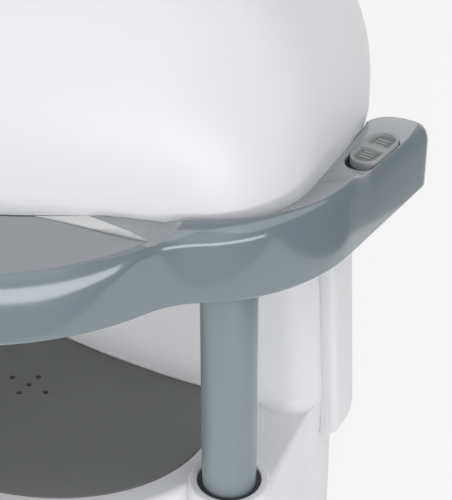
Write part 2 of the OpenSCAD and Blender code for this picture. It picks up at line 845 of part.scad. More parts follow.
module hood_liner() {
  z0 = collar_z + deck_panel_t;
  bend = roof_z - liner_round;
  color("whitesmoke") translate([0, crown_y, 0]) difference() {
    rotate_extrude() difference() {
      union() {
        translate([0, z0]) square([liner_r + liner_wall, bend - z0]);
        translate([0, z0]) square([liner_r + 2 * liner_wall, liner_wall]);
        translate([0, bend - eps]) square([liner_r - liner_round, liner_round + liner_wall + eps]);
        intersection() {
          translate([liner_r - liner_round, bend]) circle(r = liner_round + liner_wall);
          translate([liner_r - liner_round - eps, bend - eps]) square(far);
        }
      }
      translate([-eps, z0 - eps]) square([liner_r + eps, bend - z0 + eps]);
      translate([-eps, bend - 2 * eps]) square([liner_r - liner_round + eps, liner_round + 2 * eps]);
      intersection() {
        translate([liner_r - liner_round, bend]) circle(r = liner_round);
        translate([liner_r - liner_round - eps, bend - 2 * eps]) square(far);
      }
    }
    for (row = [[24, 8], [42, 14]]) for (i = [0:row[1] - 1]) rotate(i * 360 / row[1])
      translate([row[0], 0, 0]) disc(air_d / 2, roof_z - eps, roof_z + liner_wall + eps);
  }
}

element_r = 48;
element_wire = 2.5;
element_rise = [12, 26];
frame_plates = 4;
module heater_rings() {
  color("sienna") translate([0, crown_y, 0]) for (rise = element_rise)
    translate([0, 0, roof_z + liner_wall + rise]) rotate_extrude() translate([element_r, 0]) circle(r = element_wire);
}

module heater_frame() {
  foot = roof_z + liner_wall;
  color("lightgray") translate([0, crown_y, 0]) {
    pipe(duct_r, duct_r - 1.5, foot, duct_top);
    difference() {
      for (i = [0:frame_plates - 1]) rotate(45 + i * 360 / frame_plates)
        block([motor_r + 6, -0.75, foot], [duct_r - 1, 0.75, duct_top - 6]);
      for (rise = element_rise) translate([0, 0, foot + rise])
        rotate_extrude() translate([element_r, 0]) circle(r = element_wire);
    }
  }
}

bracket_t = 3;
shaft_r = 2;
module motor_bracket() {
  color("silver") translate([0, crown_y, 0]) difference() {
    union() {
      disc(motor_r + 4, duct_top, duct_top + bracket_t);
      for (i = [0:2]) rotate(i * 120) block([0, -6, duct_top], [duct_r, 6, duct_top + bracket_t]);
    }
    disc(shaft_r + 2, duct_top - eps, duct_top + bracket_t + eps);
    at_bracket_screws() disc(screw_r, duct_top - eps, duct_top + bracket_t + eps);
  }
}

module at_bracket_screws() {
  for (i = [0:1]) rotate(i * 180) translate([motor_r * 0.6, 0, 0]) children();
}

module bracket_screws() {
  z = duct_top + bracket_t;
  color("silver") translate([0, crown_y, 0]) at_bracket_screws() {
    disc(head_r, z, z + head_h / 2);
    disc(screw_r, z - bracket_t - 5, z + eps / 2);
  }
}

motor_gap = 3;
module fan_motor() {
  color("dimgray") translate([0, crown_y, 0]) difference() {
    union() {
      disc(motor_r, roof_z + liner_wall + motor_gap, duct_top);
      disc(motor_r * 0.4, roof_z + liner_wall + motor_gap / 2, duct_top - eps);
    }
    disc(shaft_r + run, roof_z + liner_wall + motor_gap + 3, duct_top + eps);
    at_bracket_screws() disc(screw_r, duct_top - 5, duct_top + eps);
  }
}

hub_r = 9;
fan_z = duct_top + bracket_t + 3;
module fan_shaft() {
  color("lightgray") translate([0, crown_y, 0])
    disc(shaft_r, roof_z + liner_wall + motor_gap + 4, fan_z + impeller_h);
}

// Backward-curved blade from the hub to the rim
module blade() {
  bend_r = impeller_r * 0.7;
  c = [impeller_r / 2 + 2, -bend_r * 0.8];
  translate([0, 0, fan_z]) linear_extrude(impeller_h) polygon(concat(
    arc(c, bend_r + 0.75, 122, 62, 8),
    arc(c, bend_r - 0.75, 62, 122, 8)
  ));
}

module impeller() {
  color("dimgray") translate([0, crown_y, 0]) difference() {
    union() {
      disc(impeller_r, fan_z, fan_z + 2);
      disc(hub_r, fan_z, fan_z + impeller_h);
      for (i = [0:blades - 1]) rotate(i * 360 / blades) blade();
    }
    disc(shaft_r, fan_z - eps, fan_z + impeller_h + eps);
  }
}

module thermostat() {
  z = roof_z + liner_wall;
  color("silver") translate([0, crown_y, 0]) rotate(-90) translate([duct_r, 0, z + duct_h / 2]) rotate([0, 90, 0]) {
    cylinder(r = 7, h = 5);
    cylinder(r = 4, h = 8);
  }
}

// Thumb sliders and their switches in the arms

switch_h = 16;
stem_w = 5;
stem_l = 8;
// Outside of a switch, grown by d
module switch_block(d, top) {
  front = slider_y - slider_l / 2 - slider_travel - 2;
  back = slider_y + slider_l / 2 - 2;
  block([slider_x - slider_w / 2 - d, front - d, top - switch_h - d], [slider_x + slider_w / 2 + d, back + d, top]);
}

module switch_body() {
  top = arm_top - collar_wall;
  color("black") difference() {
    switch_block(0, top);
    block([slider_x - stem_w / 2 - play, slider_y - stem_l / 2 - slider_travel - play, top - switch_h / 2],
      [slider_x + stem_w / 2 + play, slider_y + stem_l / 2 + play, top + eps]);
  }
}

module switch_right() {
  switch_body();
}

module switch_left() {
  mirror([1, 0, 0]) switch_body();
}

// Oval thumb piece: two ribbed pads with a raised bar across the middle
pad_t = 1;
bar_l = 4;
rib_pitch = 2.6;
module slider() {
  low = arm_top - collar_wall + play;
  top = arm_top + slider_rise;
  color("gray") translate([slider_x, slider_y, 0]) {
    stadium(slider_w, -slider_l / 2, slider_l / 2, low, top - pad_t);
    block([-slider_w / 2 + 1.5, -bar_l / 2, top - 2 * pad_t], [slider_w / 2 - 1.5, bar_l / 2, top + pad_t / 2]);
    for (side = [-1, 1]) for (i = [0:2])
      translate([0, side * (bar_l + i * rib_pitch), 0])
        block([-slider_w / 2 + 2.5 + i, -0.7, top - 2 * pad_t], [slider_w / 2 - 2.5 - i, 0.7, top - pad_t / 2]);
    block([-stem_w / 2, -stem_l / 2, low - switch_h / 2 + 2], [stem_w / 2, stem_l / 2, low + eps]);
  }
}

module slider_right() {
  slider();
}

module slider_left() {
  mirror([1, 0, 0]) slider();
}

base_shell();
base_cover();
base_feet();
base_weight();
base_screws();
base_tray();
rear_column();
rod_flanges();
rod_right();
rod_left();
rod_guides();
boss_rings();
mains_inlet();
inlet_pins();
hood_shell();
collar();
collar_underside();
underside_screws();
hood_screws();
front_deck();
post_right();
post_left();
post_glides();
hood_liner();
heater_frame();
heater_rings();
thermostat();
fan_motor();
motor_bracket();
bracket_screws();
crown_grille();
switch_right();
switch_left();
impeller();
fan_shaft();
slider_right();
slider_left();
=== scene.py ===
from math import acos, asin, atan2, cos, degrees, hypot, radians, sin, sqrt, tan

import bmesh
import bpy
from mathutils import Matrix, Vector


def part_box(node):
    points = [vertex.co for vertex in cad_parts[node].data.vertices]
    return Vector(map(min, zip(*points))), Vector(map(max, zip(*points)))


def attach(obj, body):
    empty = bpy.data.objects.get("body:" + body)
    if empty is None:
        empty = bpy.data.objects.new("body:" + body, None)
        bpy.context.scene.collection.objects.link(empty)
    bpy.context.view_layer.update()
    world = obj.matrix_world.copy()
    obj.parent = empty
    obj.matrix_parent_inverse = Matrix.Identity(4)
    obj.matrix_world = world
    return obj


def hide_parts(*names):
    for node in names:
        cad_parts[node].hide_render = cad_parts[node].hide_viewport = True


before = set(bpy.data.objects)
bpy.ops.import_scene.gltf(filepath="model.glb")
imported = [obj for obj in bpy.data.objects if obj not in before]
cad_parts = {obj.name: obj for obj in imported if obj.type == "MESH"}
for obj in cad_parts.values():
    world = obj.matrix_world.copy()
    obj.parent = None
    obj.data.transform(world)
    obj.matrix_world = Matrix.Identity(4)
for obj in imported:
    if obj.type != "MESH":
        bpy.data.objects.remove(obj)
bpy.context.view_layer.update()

scene = bpy.context.scene
scene.view_settings.view_transform = "Standard"
toMetres = 0.001  # every piece is drawn in millimetres and scaled once, when its mesh is made
hair = 0.0001  # millimetres that count as nothing
weld = 0.001  # millimetres within which vertices become one
slack = 0.01  # millimetres by which a place may miss a line

def boxOf(node):
    low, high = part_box(node)
    return low / toMetres, high / toMetres

# Camera

cameraSpot = dict(
    place=(0.4821, -0.5240, 0.6649),
    tilt=56.0,
    turn=33.6,
    lens=116.06,
    sensor=36.0,
    sideShift=-0.006,
)

def placeCamera(spot):
    data = bpy.data.cameras.new("photoCamera")
    data.lens = spot["lens"]
    data.sensor_width = spot["sensor"]
    data.shift_x = spot["sideShift"]
    data.clip_start = 0.01
    camera = bpy.data.objects.new("photoCamera", data)
    camera.location = spot["place"]
    camera.rotation_euler = (radians(spot["tilt"]), 0.0, radians(spot["turn"]))
    scene.collection.objects.link(camera)
    scene.camera = camera

placeCamera(cameraSpot)
print("camera placed")

# Finishes

noiseSpan = (0.3, 0.7)  # where most of a noise lies
coatRoughness = 0.08
# rough is the roughness and its spread, grain the bump's depth and its strength
plasticFields = ("colour", "shade", "cloudScale", "rough", "grainScale", "grain", "specular", "coat")
metalFields = ("colour", "shade", "streakScale", "rough", "grain", "stretch")

def wire(tree, node, values=None, feeds=None):
    for socket, value in (values or {}).items():
        node.inputs[socket].default_value = value
    for socket, source in (feeds or {}).items():
        tree.links.new(source, node.inputs[socket])
    return node

def addNode(tree, kind, values=None, feeds=None):
    return wire(tree, tree.nodes.new(kind), values, feeds)

def newFinish(name):
    material = bpy.data.materials.new(name)
    material.use_nodes = True
    tree = material.node_tree
    return material, tree, tree.nodes["Principled BSDF"]

def noiseOn(tree, scale, detail=2.0, stretch=(1.0, 1.0, 1.0)):
    coords = addNode(tree, "ShaderNodeTexCoord")
    mapping = addNode(tree, "ShaderNodeMapping", {"Scale": stretch}, {"Vector": coords.outputs["Object"]})
    noise = addNode(tree, "ShaderNodeTexNoise", {"Scale": scale, "Detail": detail},
                    {"Vector": mapping.outputs["Vector"]})
    return noise.outputs["Fac"]

def spread(tree, value, low, high):
    limits = {"From Min": noiseSpan[0], "From Max": noiseSpan[1], "To Min": low, "To Max": high}
    return addNode(tree, "ShaderNodeMapRange", limits, {"Value": value}).outputs["Result"]

def tint(tree, value, colours):
    ramp = addNode(tree, "ShaderNodeValToRGB", feeds={"Fac": value})
    for element, place, colour in zip(ramp.color_ramp.elements, noiseSpan, colours):
        element.position = place
        element.color = (*colour, 1.0)
    return ramp.outputs["Color"]

def surface(tree, shader, look, tone, fine):
    rough, change = look["rough"]
    depth, strength = look["grain"]
    bump = addNode(tree, "ShaderNodeBump", {"Strength": strength, "Distance": depth}, {"Height": fine})
    colour = tint(tree, tone, (look["colour"], look["shade"]))
    roughness = spread(tree, fine, rough - change, rough + change)
    wire(tree, shader, feeds={"Base Color": colour, "Roughness": roughness, "Normal": bump.outputs["Normal"]})

def mouldedPlastic(name, row):
    look = dict(zip(plasticFields, row))
    material, tree, shader = newFinish(name)
    surface(tree, shader, look, noiseOn(tree, look["cloudScale"]), noiseOn(tree, look["grainScale"], 3.0))
    wire(tree, shader, {"Specular IOR Level": look.get("specular", 0.5), "Coat Weight": look.get("coat", 0.0),
                       "Coat Roughness": coatRoughness})
    return material

def drawnMetal(name, row):
    look = dict(zip(metalFields, row))
    material, tree, shader = newFinish(name)
    streak = noiseOn(tree, look["streakScale"], 3.0, look["stretch"])
    surface(tree, shader, look, streak, streak)
    wire(tree, shader, {"Metallic": 1.0})
    return material

plasticLooks = {
    "glossWhite": ((0.8, 0.8, 0.822), (0.78, 0.78, 0.805), 9.0,
        (0.35, 0.01), 900.0, (0.00003, 0.04), 0.5, 0.05),
    "slateGloss": ((0.168, 0.212, 0.234), (0.176, 0.22, 0.242), 12.0,
        (0.16, 0.01), 900.0, (0.00002, 0.03), 0.5, 0.9),
    "slateTube": ((0.218, 0.262, 0.286), (0.23, 0.275, 0.298), 14.0, (0.3, 0.02), 1100.0, (0.00003, 0.05)),
    "deckSatin": ((0.315, 0.34, 0.36), (0.335, 0.36, 0.378), 16.0, (0.42, 0.05), 900.0, (0.0003, 0.1)),
    # the collar's tops behind the step: a lighter slate than the collar, painted light standing in for the
    # light the tops catch
    "shoulderSatinPaintedLight": ((0.31, 0.334, 0.35), (0.322, 0.346, 0.362), 14.0,
        (0.24, 0.02), 900.0, (0.0001, 0.05), 0.5, 0.5),
    # the step's faces: near white on the slate collar, a painted highlight standing in for the bright strip
    # of reflected light
    "stepSatinPaintedHighlight": ((0.69, 0.693, 0.698), (0.705, 0.708, 0.713), 16.0, (0.34, 0.03), 900.0, (0.0002, 0.06)),
    "sliderSatin": ((0.345, 0.355, 0.358), (0.365, 0.375, 0.378), 40.0, (0.44, 0.05), 1500.0, (0.0003, 0.15)),
    # the slider's pad floors: a real grip grain, coloured darker than the slider as painted shade in their
    # recess
    "padGrainPaintedShade": ((0.19, 0.202, 0.208), (0.215, 0.226, 0.232), 60.0, (0.55, 0.06), 1600.0, (0.0004, 0.25)),
    "trayGrain": ((0.2, 0.203, 0.2), (0.216, 0.219, 0.215), 25.0, (0.58, 0.08), 1300.0, (0.0006, 0.3), 0.35),
    "blackMatt": ((0.03, 0.031, 0.033), (0.04, 0.041, 0.043), 30.0, (0.5, 0.06), 1200.0, (0.0004, 0.18)),
    "footRubber": ((0.028, 0.028, 0.028), (0.045, 0.044, 0.042), 45.0,
        (0.75, 0.08), 900.0, (0.0006, 0.25), 0.3),
    "naturalNylon": ((0.7, 0.67, 0.59), (0.74, 0.715, 0.64), 50.0, (0.42, 0.05), 800.0, (0.0003, 0.1)),
    "linerSatin": ((0.66, 0.66, 0.655), (0.7, 0.7, 0.695), 18.0, (0.46, 0.05), 700.0, (0.0003, 0.12)),
    "canPaint": ((0.14, 0.148, 0.158), (0.17, 0.178, 0.188), 60.0, (0.38, 0.06), 900.0, (0.0003, 0.15)),
    "castIron": ((0.085, 0.085, 0.09), (0.135, 0.132, 0.13), 90.0, (0.62, 0.1), 420.0, (0.0012, 0.45)),
}
metalLooks = {
    "rodSteel": ((0.6, 0.61, 0.625), (0.68, 0.69, 0.705), 260.0,
        (0.18, 0.05), (0.0001, 0.06), (1.0, 1.0, 0.03)),
    "zincSteel": ((0.5, 0.5, 0.505), (0.6, 0.595, 0.585), 320.0,
        (0.34, 0.08), (0.0002, 0.1), (1.0, 1.0, 1.0)),
    "tintedSteel": ((0.36, 0.33, 0.3), (0.47, 0.45, 0.43), 120.0,
        (0.36, 0.08), (0.0002, 0.1), (1.0, 1.0, 0.4)),
    "brightBrass": ((0.64, 0.47, 0.18), (0.72, 0.56, 0.25), 300.0,
        (0.24, 0.06), (0.0001, 0.06), (1.0, 0.1, 1.0)),
}
finishes = {name: mouldedPlastic(name, row) for name, row in plasticLooks.items()}
finishes.update({name: drawnMetal(name, row) for name, row in metalLooks.items()})
print("finishes made:", len(finishes))

# Walking an outline: a vertex is led round the piece seen from above

def flat(x, y):
    return Vector((x, y, 0.0))

def up(z):
    return Vector((0.0, 0.0, z))

def shareOf(value, start, end):
    return min(1.0, max(0.0, (value - start) / (end - start)))

def blend(first, second, share):
    return first + (second - first) * share

def bearing(start, end):
    return degrees(atan2(end.y - start.y, end.x - start.x))

def lineAt(start, end, y):
    return start.lerp(end, (y - start.y) / (end.y - start.y))

def walkStart(bm, x, y):
    return bm.verts.new((x, y, 0.0))

def walkLine(bm, vert, place, steps=1):
    start = vert.co.copy()
    if (start - place).length < hair:
        return vert
    for i in range(1, steps + 1):
        vert = bmesh.ops.extrude_vert_indiv(bm, verts=[vert])["verts"][0]
        vert.co = start.lerp(place, i / steps)
    return vert

def walkArc(bm, vert, centre, turn, steps):
    turned = bmesh.ops.spin(bm, geom=[vert], cent=centre, axis=(0, 0, 1), angle=radians(turn),
                            steps=steps, use_merge=False, use_duplicate=False)
    return turned["geom_last"][0]

def walkCorner(bm, vert, corner, onward, radius, steps, lead=1):
    # straight on in lead steps, then round the corner
    back = (vert.co - corner).normalized()
    ahead = (onward - corner).normalized()
    half = back.angle(ahead) / 2
    centre = corner + (back + ahead).normalized() * radius / sin(half)
    vert = walkLine(bm, vert, corner + back * radius / tan(half), lead)
    turn = 180.0 - 2 * degrees(half)
    return walkArc(bm, vert, centre, -turn if back.cross(ahead).z > 0 else turn, steps)

def chainFrom(vert):
    # along the edges to their end, or once round a closed loop
    chain = [vert]
    last = None
    while True:
        last = next((e for e in chain[-1].link_edges if e is not last), None)
        if last is None or last.other_vert(chain[-1]) is vert:
            return chain
        chain.append(last.other_vert(chain[-1]))

def loopFrom(vert):
    # anticlockwise, seen from above
    loop = chainFrom(vert)
    area = sum(a.co.x * b.co.y - b.co.x * a.co.y for a, b in zip(loop, loop[1:] + loop[:1]))
    return loop if area > 0 else [loop[0]] + loop[:0:-1]

def closeWalk(bm, vert, start, z):
    bm.edges.new((vert, start))
    return liftLoop(loopFrom(start), z)

def mirrorHalf(bm):
    # the half that was just walked lies at z = 0
    half = [v for v in bm.verts if abs(v.co.z) < hair]
    edges = list({e for v in half for e in v.link_edges})
    bmesh.ops.mirror(bm, geom=half + edges, matrix=Matrix.Identity(4), merge_dist=weld, axis="X")

def mirroredLoop(bm):
    # a closed outline, from its front
    mirrorHalf(bm)
    onAxis = [v for v in bm.verts if abs(v.co.z) < hair and abs(v.co.x) < slack]
    return loopFrom(min(onAxis, key=lambda v: v.co.y))

def mirroredChain(bm):
    # an open outline, from its left end
    mirrorHalf(bm)
    ends = [v for v in bm.verts if len(v.link_edges) == 1 and abs(v.co.z) < hair]
    return chainFrom(min(ends, key=lambda v: v.co.x))

def liftLoop(loop, z):
    for vert in loop:
        vert.co.z = z
    return loop

def traced(loop):
    # the loop's places, and the way inwards at each
    ways = []
    for i in range(len(loop)):
        along = loop[(i + 1) % len(loop)].co - loop[i - 1].co
        ways.append(flat(-along.y, along.x).normalized())
    return [v.co.copy() for v in loop], ways

def lowerTo(places, z):
    return [Vector((p.x, p.y, z)) for p in places]

def insetTo(outline, inward, draw, z):
    return lowerTo([p + n * draw for p, n in zip(outline, inward)], z)

def quarter(steps):
    return [radians(90.0 * i / steps) for i in range(steps + 1)]

def roundOver(size, steps):
    # a rounded edge from the side to the top: how far it draws in, how far it lies below
    return [(size * (1 - cos(a)), size * (1 - sin(a))) for a in quarter(steps)]

# Faces from outlines

def facesIn(geom):
    return [g for g in geom if isinstance(g, bmesh.types.BMFace)]

def vertsIn(geom):
    return [g for g in geom if isinstance(g, bmesh.types.BMVert)]

def edgesOf(bm, loop, closed=True):
    ends = loop[1:] + loop[:1] if closed else loop[1:]
    return [bm.edges.get((a, b)) for a, b in zip(loop, ends)]

def growLoop(bm, loop, places, closed=True):
    grown = bmesh.ops.extrude_edge_only(bm, edges=edgesOf(bm, loop, closed))["geom"]
    fresh = {v.co.to_tuple(4): v for v in vertsIn(grown)}
    onward = [fresh[v.co.to_tuple(4)] for v in loop]
    for vert, place in zip(onward, places):
        vert.co = place
    return onward

def bridge(bm, loopA, loopB):
    bmesh.ops.bridge_loops(bm, edges=edgesOf(bm, loopA) + edgesOf(bm, loopB))

def capLoop(bm, loop):
    return bmesh.ops.contextual_create(bm, geom=edgesOf(bm, loop))["faces"]

def fillFlat(bm, edges, way=1):
    return facesIn(bmesh.ops.triangle_fill(bm, use_beauty=True, edges=edges, normal=(0, 0, way))["geom"])

def bisectAt(bm, faces, place, normal):
    edges = list({e for f in faces for e in f.edges})
    verts = list({v for f in faces for v in f.verts})
    cut = bmesh.ops.bisect_plane(bm, geom=faces + edges + verts, dist=weld, plane_co=place, plane_no=normal)
    return facesIn(cut["geom"])

def addBlock(bm, place, size):
    bmesh.ops.create_cube(bm, size=1.0, matrix=Matrix.Translation(place) @ Matrix.Diagonal((*size, 1.0)))

def lathe(bm, points, centre, steps):
    verts = [bm.verts.new((centre[0] + r, centre[1], z)) for r, z in points]
    edges = [bm.edges.new((a, b)) for a, b in zip(verts, verts[1:] + verts[:1])]
    bmesh.ops.spin(bm, geom=verts + edges, cent=(*centre, 0.0), axis=(0, 0, 1), angle=radians(360.0),
                   steps=steps, use_merge=True, use_duplicate=False)

def makePiece(name, bm, finish, body, stands, sharp=32.0, keepFacing=False, extras=()):
    bmesh.ops.remove_doubles(bm, verts=bm.verts[:], dist=weld)
    if not keepFacing:
        bmesh.ops.recalc_face_normals(bm, faces=bm.faces[:])
    bmesh.ops.scale(bm, vec=(toMetres,) * 3, verts=bm.verts[:])
    for face in bm.faces:
        face.smooth = True
    mesh = bpy.data.meshes.new(name)
    bm.to_mesh(mesh)
    bm.free()
    mesh.set_sharp_from_angle(angle=radians(sharp))
    for layer in (finish, *extras):
        mesh.materials.append(finishes[layer])
    piece = bpy.data.objects.new(name, mesh)
    scene.collection.objects.link(piece)
    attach(piece, body)
    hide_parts(*stands)
    return piece

# Hood

hoodLook = dict(
    corner=(163.0, -3.0),
    prow=-108.0,
    backCorner=(146.0, 136.0),
    prowRadius=120.0,
    cornerRadius=58.0,
    cornerSoft=95.0,
    cornerGrowth=2.2,
    backRadius=50.0,
    wall=3.0,
    sideHeight=10.0,
    fullness=2.2,
    crownRadius=138.0,
    crownY=22.0,
    skirtFront=79.0,
    skirtRings=(190.0, 150.0, 115.0),
    skirtRadius=6.0,
    skirtDraft=8.0,
    returnRadius=4.0,
    returnGap=0.3,
    footFront=-47.0,
    footDrop=6.0,
    intake=40.0,
    crownSteps=26,
    rimBevel=0.7,
    rimAngle=50.0,
)

def hoodCorners(hood):
    return flat(0.0, hood["prow"]), flat(*hood["corner"]), flat(*hood["backCorner"])

def walkProw(bm, look):
    # the front point, as far as the end of its round
    lean = atan2(look["corner"][0], look["corner"][1] - look["prow"])
    centreY = look["prow"] + look["prowRadius"] / sin(lean)
    start = walkStart(bm, 0.0, centreY - look["prowRadius"])
    return walkArc(bm, start, flat(0.0, centreY), 90.0 - degrees(lean), 14)

def hoodOutline(bm, look, radius):
    corner, backCorner = hoodCorners(look)[1:]
    middle = flat(0.0, backCorner.y)
    vert = walkCorner(bm, walkProw(bm, look), corner, backCorner, radius, 14, 14)
    vert = walkLine(bm, vert, lineAt(corner, backCorner, look["skirtFront"] + look["returnRadius"]), 10)
    vert = walkCorner(bm, vert, backCorner, middle, look["backRadius"], 16, 2)
    walkLine(bm, vert, middle, 12)
    return mirroredLoop(bm)

def hoodPlan(look, z, foot, top):
    # the outline at a height: its front corners grow rounder towards the crown
    share = shareOf(look["cornerGrowth"] * (z - foot), 0.0, top - foot)
    bm = bmesh.new()
    loop = hoodOutline(bm, look, blend(look["cornerRadius"], look["cornerSoft"], share))
    places = [v.co.copy() for v in loop]
    bm.free()
    return places

def crownPlaces(outline, look, turn, sideTop, crownTop):
    rise = sin(turn) ** (2 / look["fullness"])
    size = cos(turn) ** (2 / look["fullness"])
    roundness = rise ** 3
    middle = flat(0.0, look["crownY"])
    places = []
    for point in outline:
        out = point - middle
        reach = size * (1 - roundness + roundness * look["crownRadius"] / out.length)
        places.append(middle + out * reach + up(blend(sideTop, crownTop, rise)))
    return places

def draftSlope(look):
    # share of its width that the skirt, and the column in it, loses with each millimetre of height
    return look["skirtDraft"] / look["backCorner"][0] / (boxOf("collar")[0].z - boxOf("hood_shell")[0].z)

def growReturn(bm, look, chain, side, slope):
    # the skirt's front edge turns in as far as the column's flank
    columnLow, columnHigh = boxOf("rear_column")
    radius = look["returnRadius"]
    ends = [v.co.copy() for v in chain]
    for turn in quarter(6)[1:]:
        places = []
        for end in ends:
            middle = Vector((end.x - side * radius, end.y, end.z))
            places.append(middle + flat(side * radius * cos(turn), -radius * sin(turn)))
        chain = growLoop(bm, chain, places, closed=False)
    places = []
    for end in ends:
        near = columnHigh.x * (1.0 - slope * max(0.0, end.z - columnLow.z)) + look["returnGap"]
        places.append(Vector((side * near, end.y - radius, end.z)))
    growLoop(bm, chain, places, closed=False)

def growSkirt(bm, look, loop, outline, inward, collarTop, skirtFoot):
    collarFoot = boxOf("collar")[0].z
    slope = draftSlope(look)
    narrowest = 1.0 - slope * (collarFoot - skirtFoot)
    back = [i for i, p in enumerate(outline) if p.y > look["skirtFront"] + look["returnRadius"] - slack]
    strip = [loop[i] for i in back]
    falls = [(0.0, z) for z in ((collarTop + collarFoot) / 2, collarFoot, *look["skirtRings"])]
    falls += [(draw, skirtFoot + fall) for draw, fall in roundOver(look["skirtRadius"], 6)]
    rightEnd = []
    leftEnd = []
    for draw, z in falls:
        scale = 1.0 - slope * (z - skirtFoot)
        if z > collarFoot:
            scale = 1.0 + (narrowest - 1.0) * (collarTop - z) / (collarTop - collarFoot)
        places = []
        for i in back:
            place = outline[i] + inward[i] * draw
            places.append(Vector((place.x * scale, place.y, z)))
        strip = growLoop(bm, strip, places, closed=False)
        if z <= collarFoot:
            rightEnd.append(strip[0])
            leftEnd.append(strip[-1])
    growReturn(bm, look, rightEnd, 1, slope)
    growReturn(bm, look, leftEnd, -1, slope)

def growCrown(bm, look, ring, foot, top):
    sideTop = foot + look["sideHeight"]
    for z in (foot + look["sideHeight"] / 2, sideTop):
        ring = growLoop(bm, ring, lowerTo(hoodPlan(look, z, foot, top), z))
    lastTurn = acos((look["intake"] / look["crownRadius"]) ** (look["fullness"] / 2))
    for i in range(1, look["crownSteps"] + 1):
        turn = lastTurn * i / look["crownSteps"]
        z = blend(sideTop, top, sin(turn) ** (2 / look["fullness"]))
        places = crownPlaces(hoodPlan(look, z, foot, top), look, turn, sideTop, top)
        if i == look["crownSteps"]:
            middle = Vector((0.0, look["crownY"], places[0].z))
            places = [middle + (p - middle).normalized() * look["intake"] for p in lowerTo(places, middle.z)]
        ring = growLoop(bm, ring, places)

def makeHood(look):
    low, high = boxOf("hood_shell")
    foot = boxOf("collar")[1].z
    bm = bmesh.new()
    loop = hoodOutline(bm, look, look["cornerRadius"])
    outline, inward = traced(loop)
    liftLoop(loop, foot)
    growSkirt(bm, look, loop, outline, inward, foot, low.z)
    # between the deck and the skirt the foot stands in the collar's trough
    flankEnd = look["skirtFront"] + look["returnRadius"] + slack
    flank = [v for v in loop if look["footFront"] < v.co.y < flankEnd]
    for side in (-1, 1):
        chain = [v for v in flank if side * v.co.x > 0]
        growLoop(bm, chain, lowerTo([v.co for v in chain], foot - look["footDrop"]), closed=False)
    growCrown(bm, look, loop, foot, high.z)

    bmesh.ops.recalc_face_normals(bm, faces=bm.faces[:])
    top = max(bm.faces, key=lambda f: f.calc_center_median().z)
    if top.normal.z < 0:
        bmesh.ops.reverse_faces(bm, faces=bm.faces[:])
    piece = makePiece("hoodSkin", bm, "glossWhite", "hood", ["hood_shell"], keepFacing=True)
    shell = piece.modifiers.new("shell", "SOLIDIFY")
    shell.thickness = look["wall"] * toMetres
    shell.offset = -1.0
    rim = piece.modifiers.new("rim", "BEVEL")
    rim.width = look["rimBevel"] * toMetres
    rim.segments = 2
    rim.limit_method = "ANGLE"
    rim.angle_limit = radians(look["rimAngle"])

makeHood(hoodLook)
print("hood made")

# Collar

collarLook = dict(
    noseRadius=133.0,
    noseY=-4.0,
    waistRadius=45.0,
    shoulderRadius=88.0,
    armX=177.0,
    armY=40.0,
    armEnd=122.0,
    armInside=14.0,
    armGap=-0.6,
    armRound=8.0,
    armTurn=19.0,
    back=77.0,
    wall=3.0,
    hem=(10.0, 0.2),
    noseLip=(10.0, 34.0),
    waistLip=(8.5, 10.0),
    shoulderLip=(3.0, 8.0),
    waistBlend=(-95.0, -55.0),
    shoulderBlend=(-30.0, 20.0),
    armLip=(3.2, 10.0),
    endLip=(7.0, 10.0),
    endBlend=22.0,
    innerLip=(1.0, 1.0),
    lipSteps=14,
    footEdge=2.4,
    sink=5.0,
    ramp=(42.0, 62.0),
    rampSteps=8,
    trough=12.0,
    troughStart=(-48.0, -20.0),
    lipStep=(-46.0, -36.0),
    stepFade=9.0,
)
deckLook = dict(
    rimRadius=128.2,
    back=-45.6,
    innerBack=-62.9,
    backEnds=(119.8, 73.5),
    stepTop=-49.7,
    stepMargin=(1.0, 0.2),
    endRun=4.0,
    coveWidth=14.0,
    coveRise=4.7,
    coveSteps=7,
    gap=0.3,
    backGap=0.8,
    edge=0.5,
)
sliderLook = dict(
    x=165.8,
    y=80.0,
    length=33.0,
    width=15.0,
    travel=4.0,
    gap=0.3,
    slotEdge=0.8,
    rise=1.9,
    sunk=2.5,
    edge=0.7,
    rim=1.4,
    bar=4.4,
    padSink=1.3,
    padSlope=0.7,
    ribs=3,
    ribStart=2.2,
    ribStep=2.5,
    ribSize=(6.0, 1.0, 0.7),
    stemSize=(5.0, 8.0),
    stemDrop=2.0,
)

def easeOf(share):
    return share * share * (3.0 - 2.0 * share)

def waistCentre(look):
    # the hollow touches both the nose and the shoulder
    nose = flat(0.0, look["noseY"])
    shoulder = flat(look["armX"] - look["shoulderRadius"], look["armY"])
    apart = shoulder - nose
    fromNose = look["noseRadius"] + look["waistRadius"]
    fromShoulder = look["shoulderRadius"] + look["waistRadius"]
    along = (fromNose ** 2 - fromShoulder ** 2 + apart.length_squared) / (2 * apart.length)
    side = flat(apart.y, -apart.x).normalized()
    centre = nose + apart.normalized() * along + side * sqrt(fromNose ** 2 - along ** 2)
    return nose, shoulder, centre

def hoodSideX(hood, y):
    # the hood's side wall, straight and then round the rear corner
    corner, backCorner = hoodCorners(hood)[1:]
    along = (backCorner - corner).normalized()
    radius = hood["backRadius"]
    inner = backCorner + flat(-along.y, along.x) * radius
    centre = inner + along * (backCorner.y - radius - inner.y) / along.y
    if y < centre.y - along.x * radius:
        return corner.x + along.x * (y - corner.y) / along.y
    return centre.x + sqrt(radius * radius - (y - centre.y) ** 2)

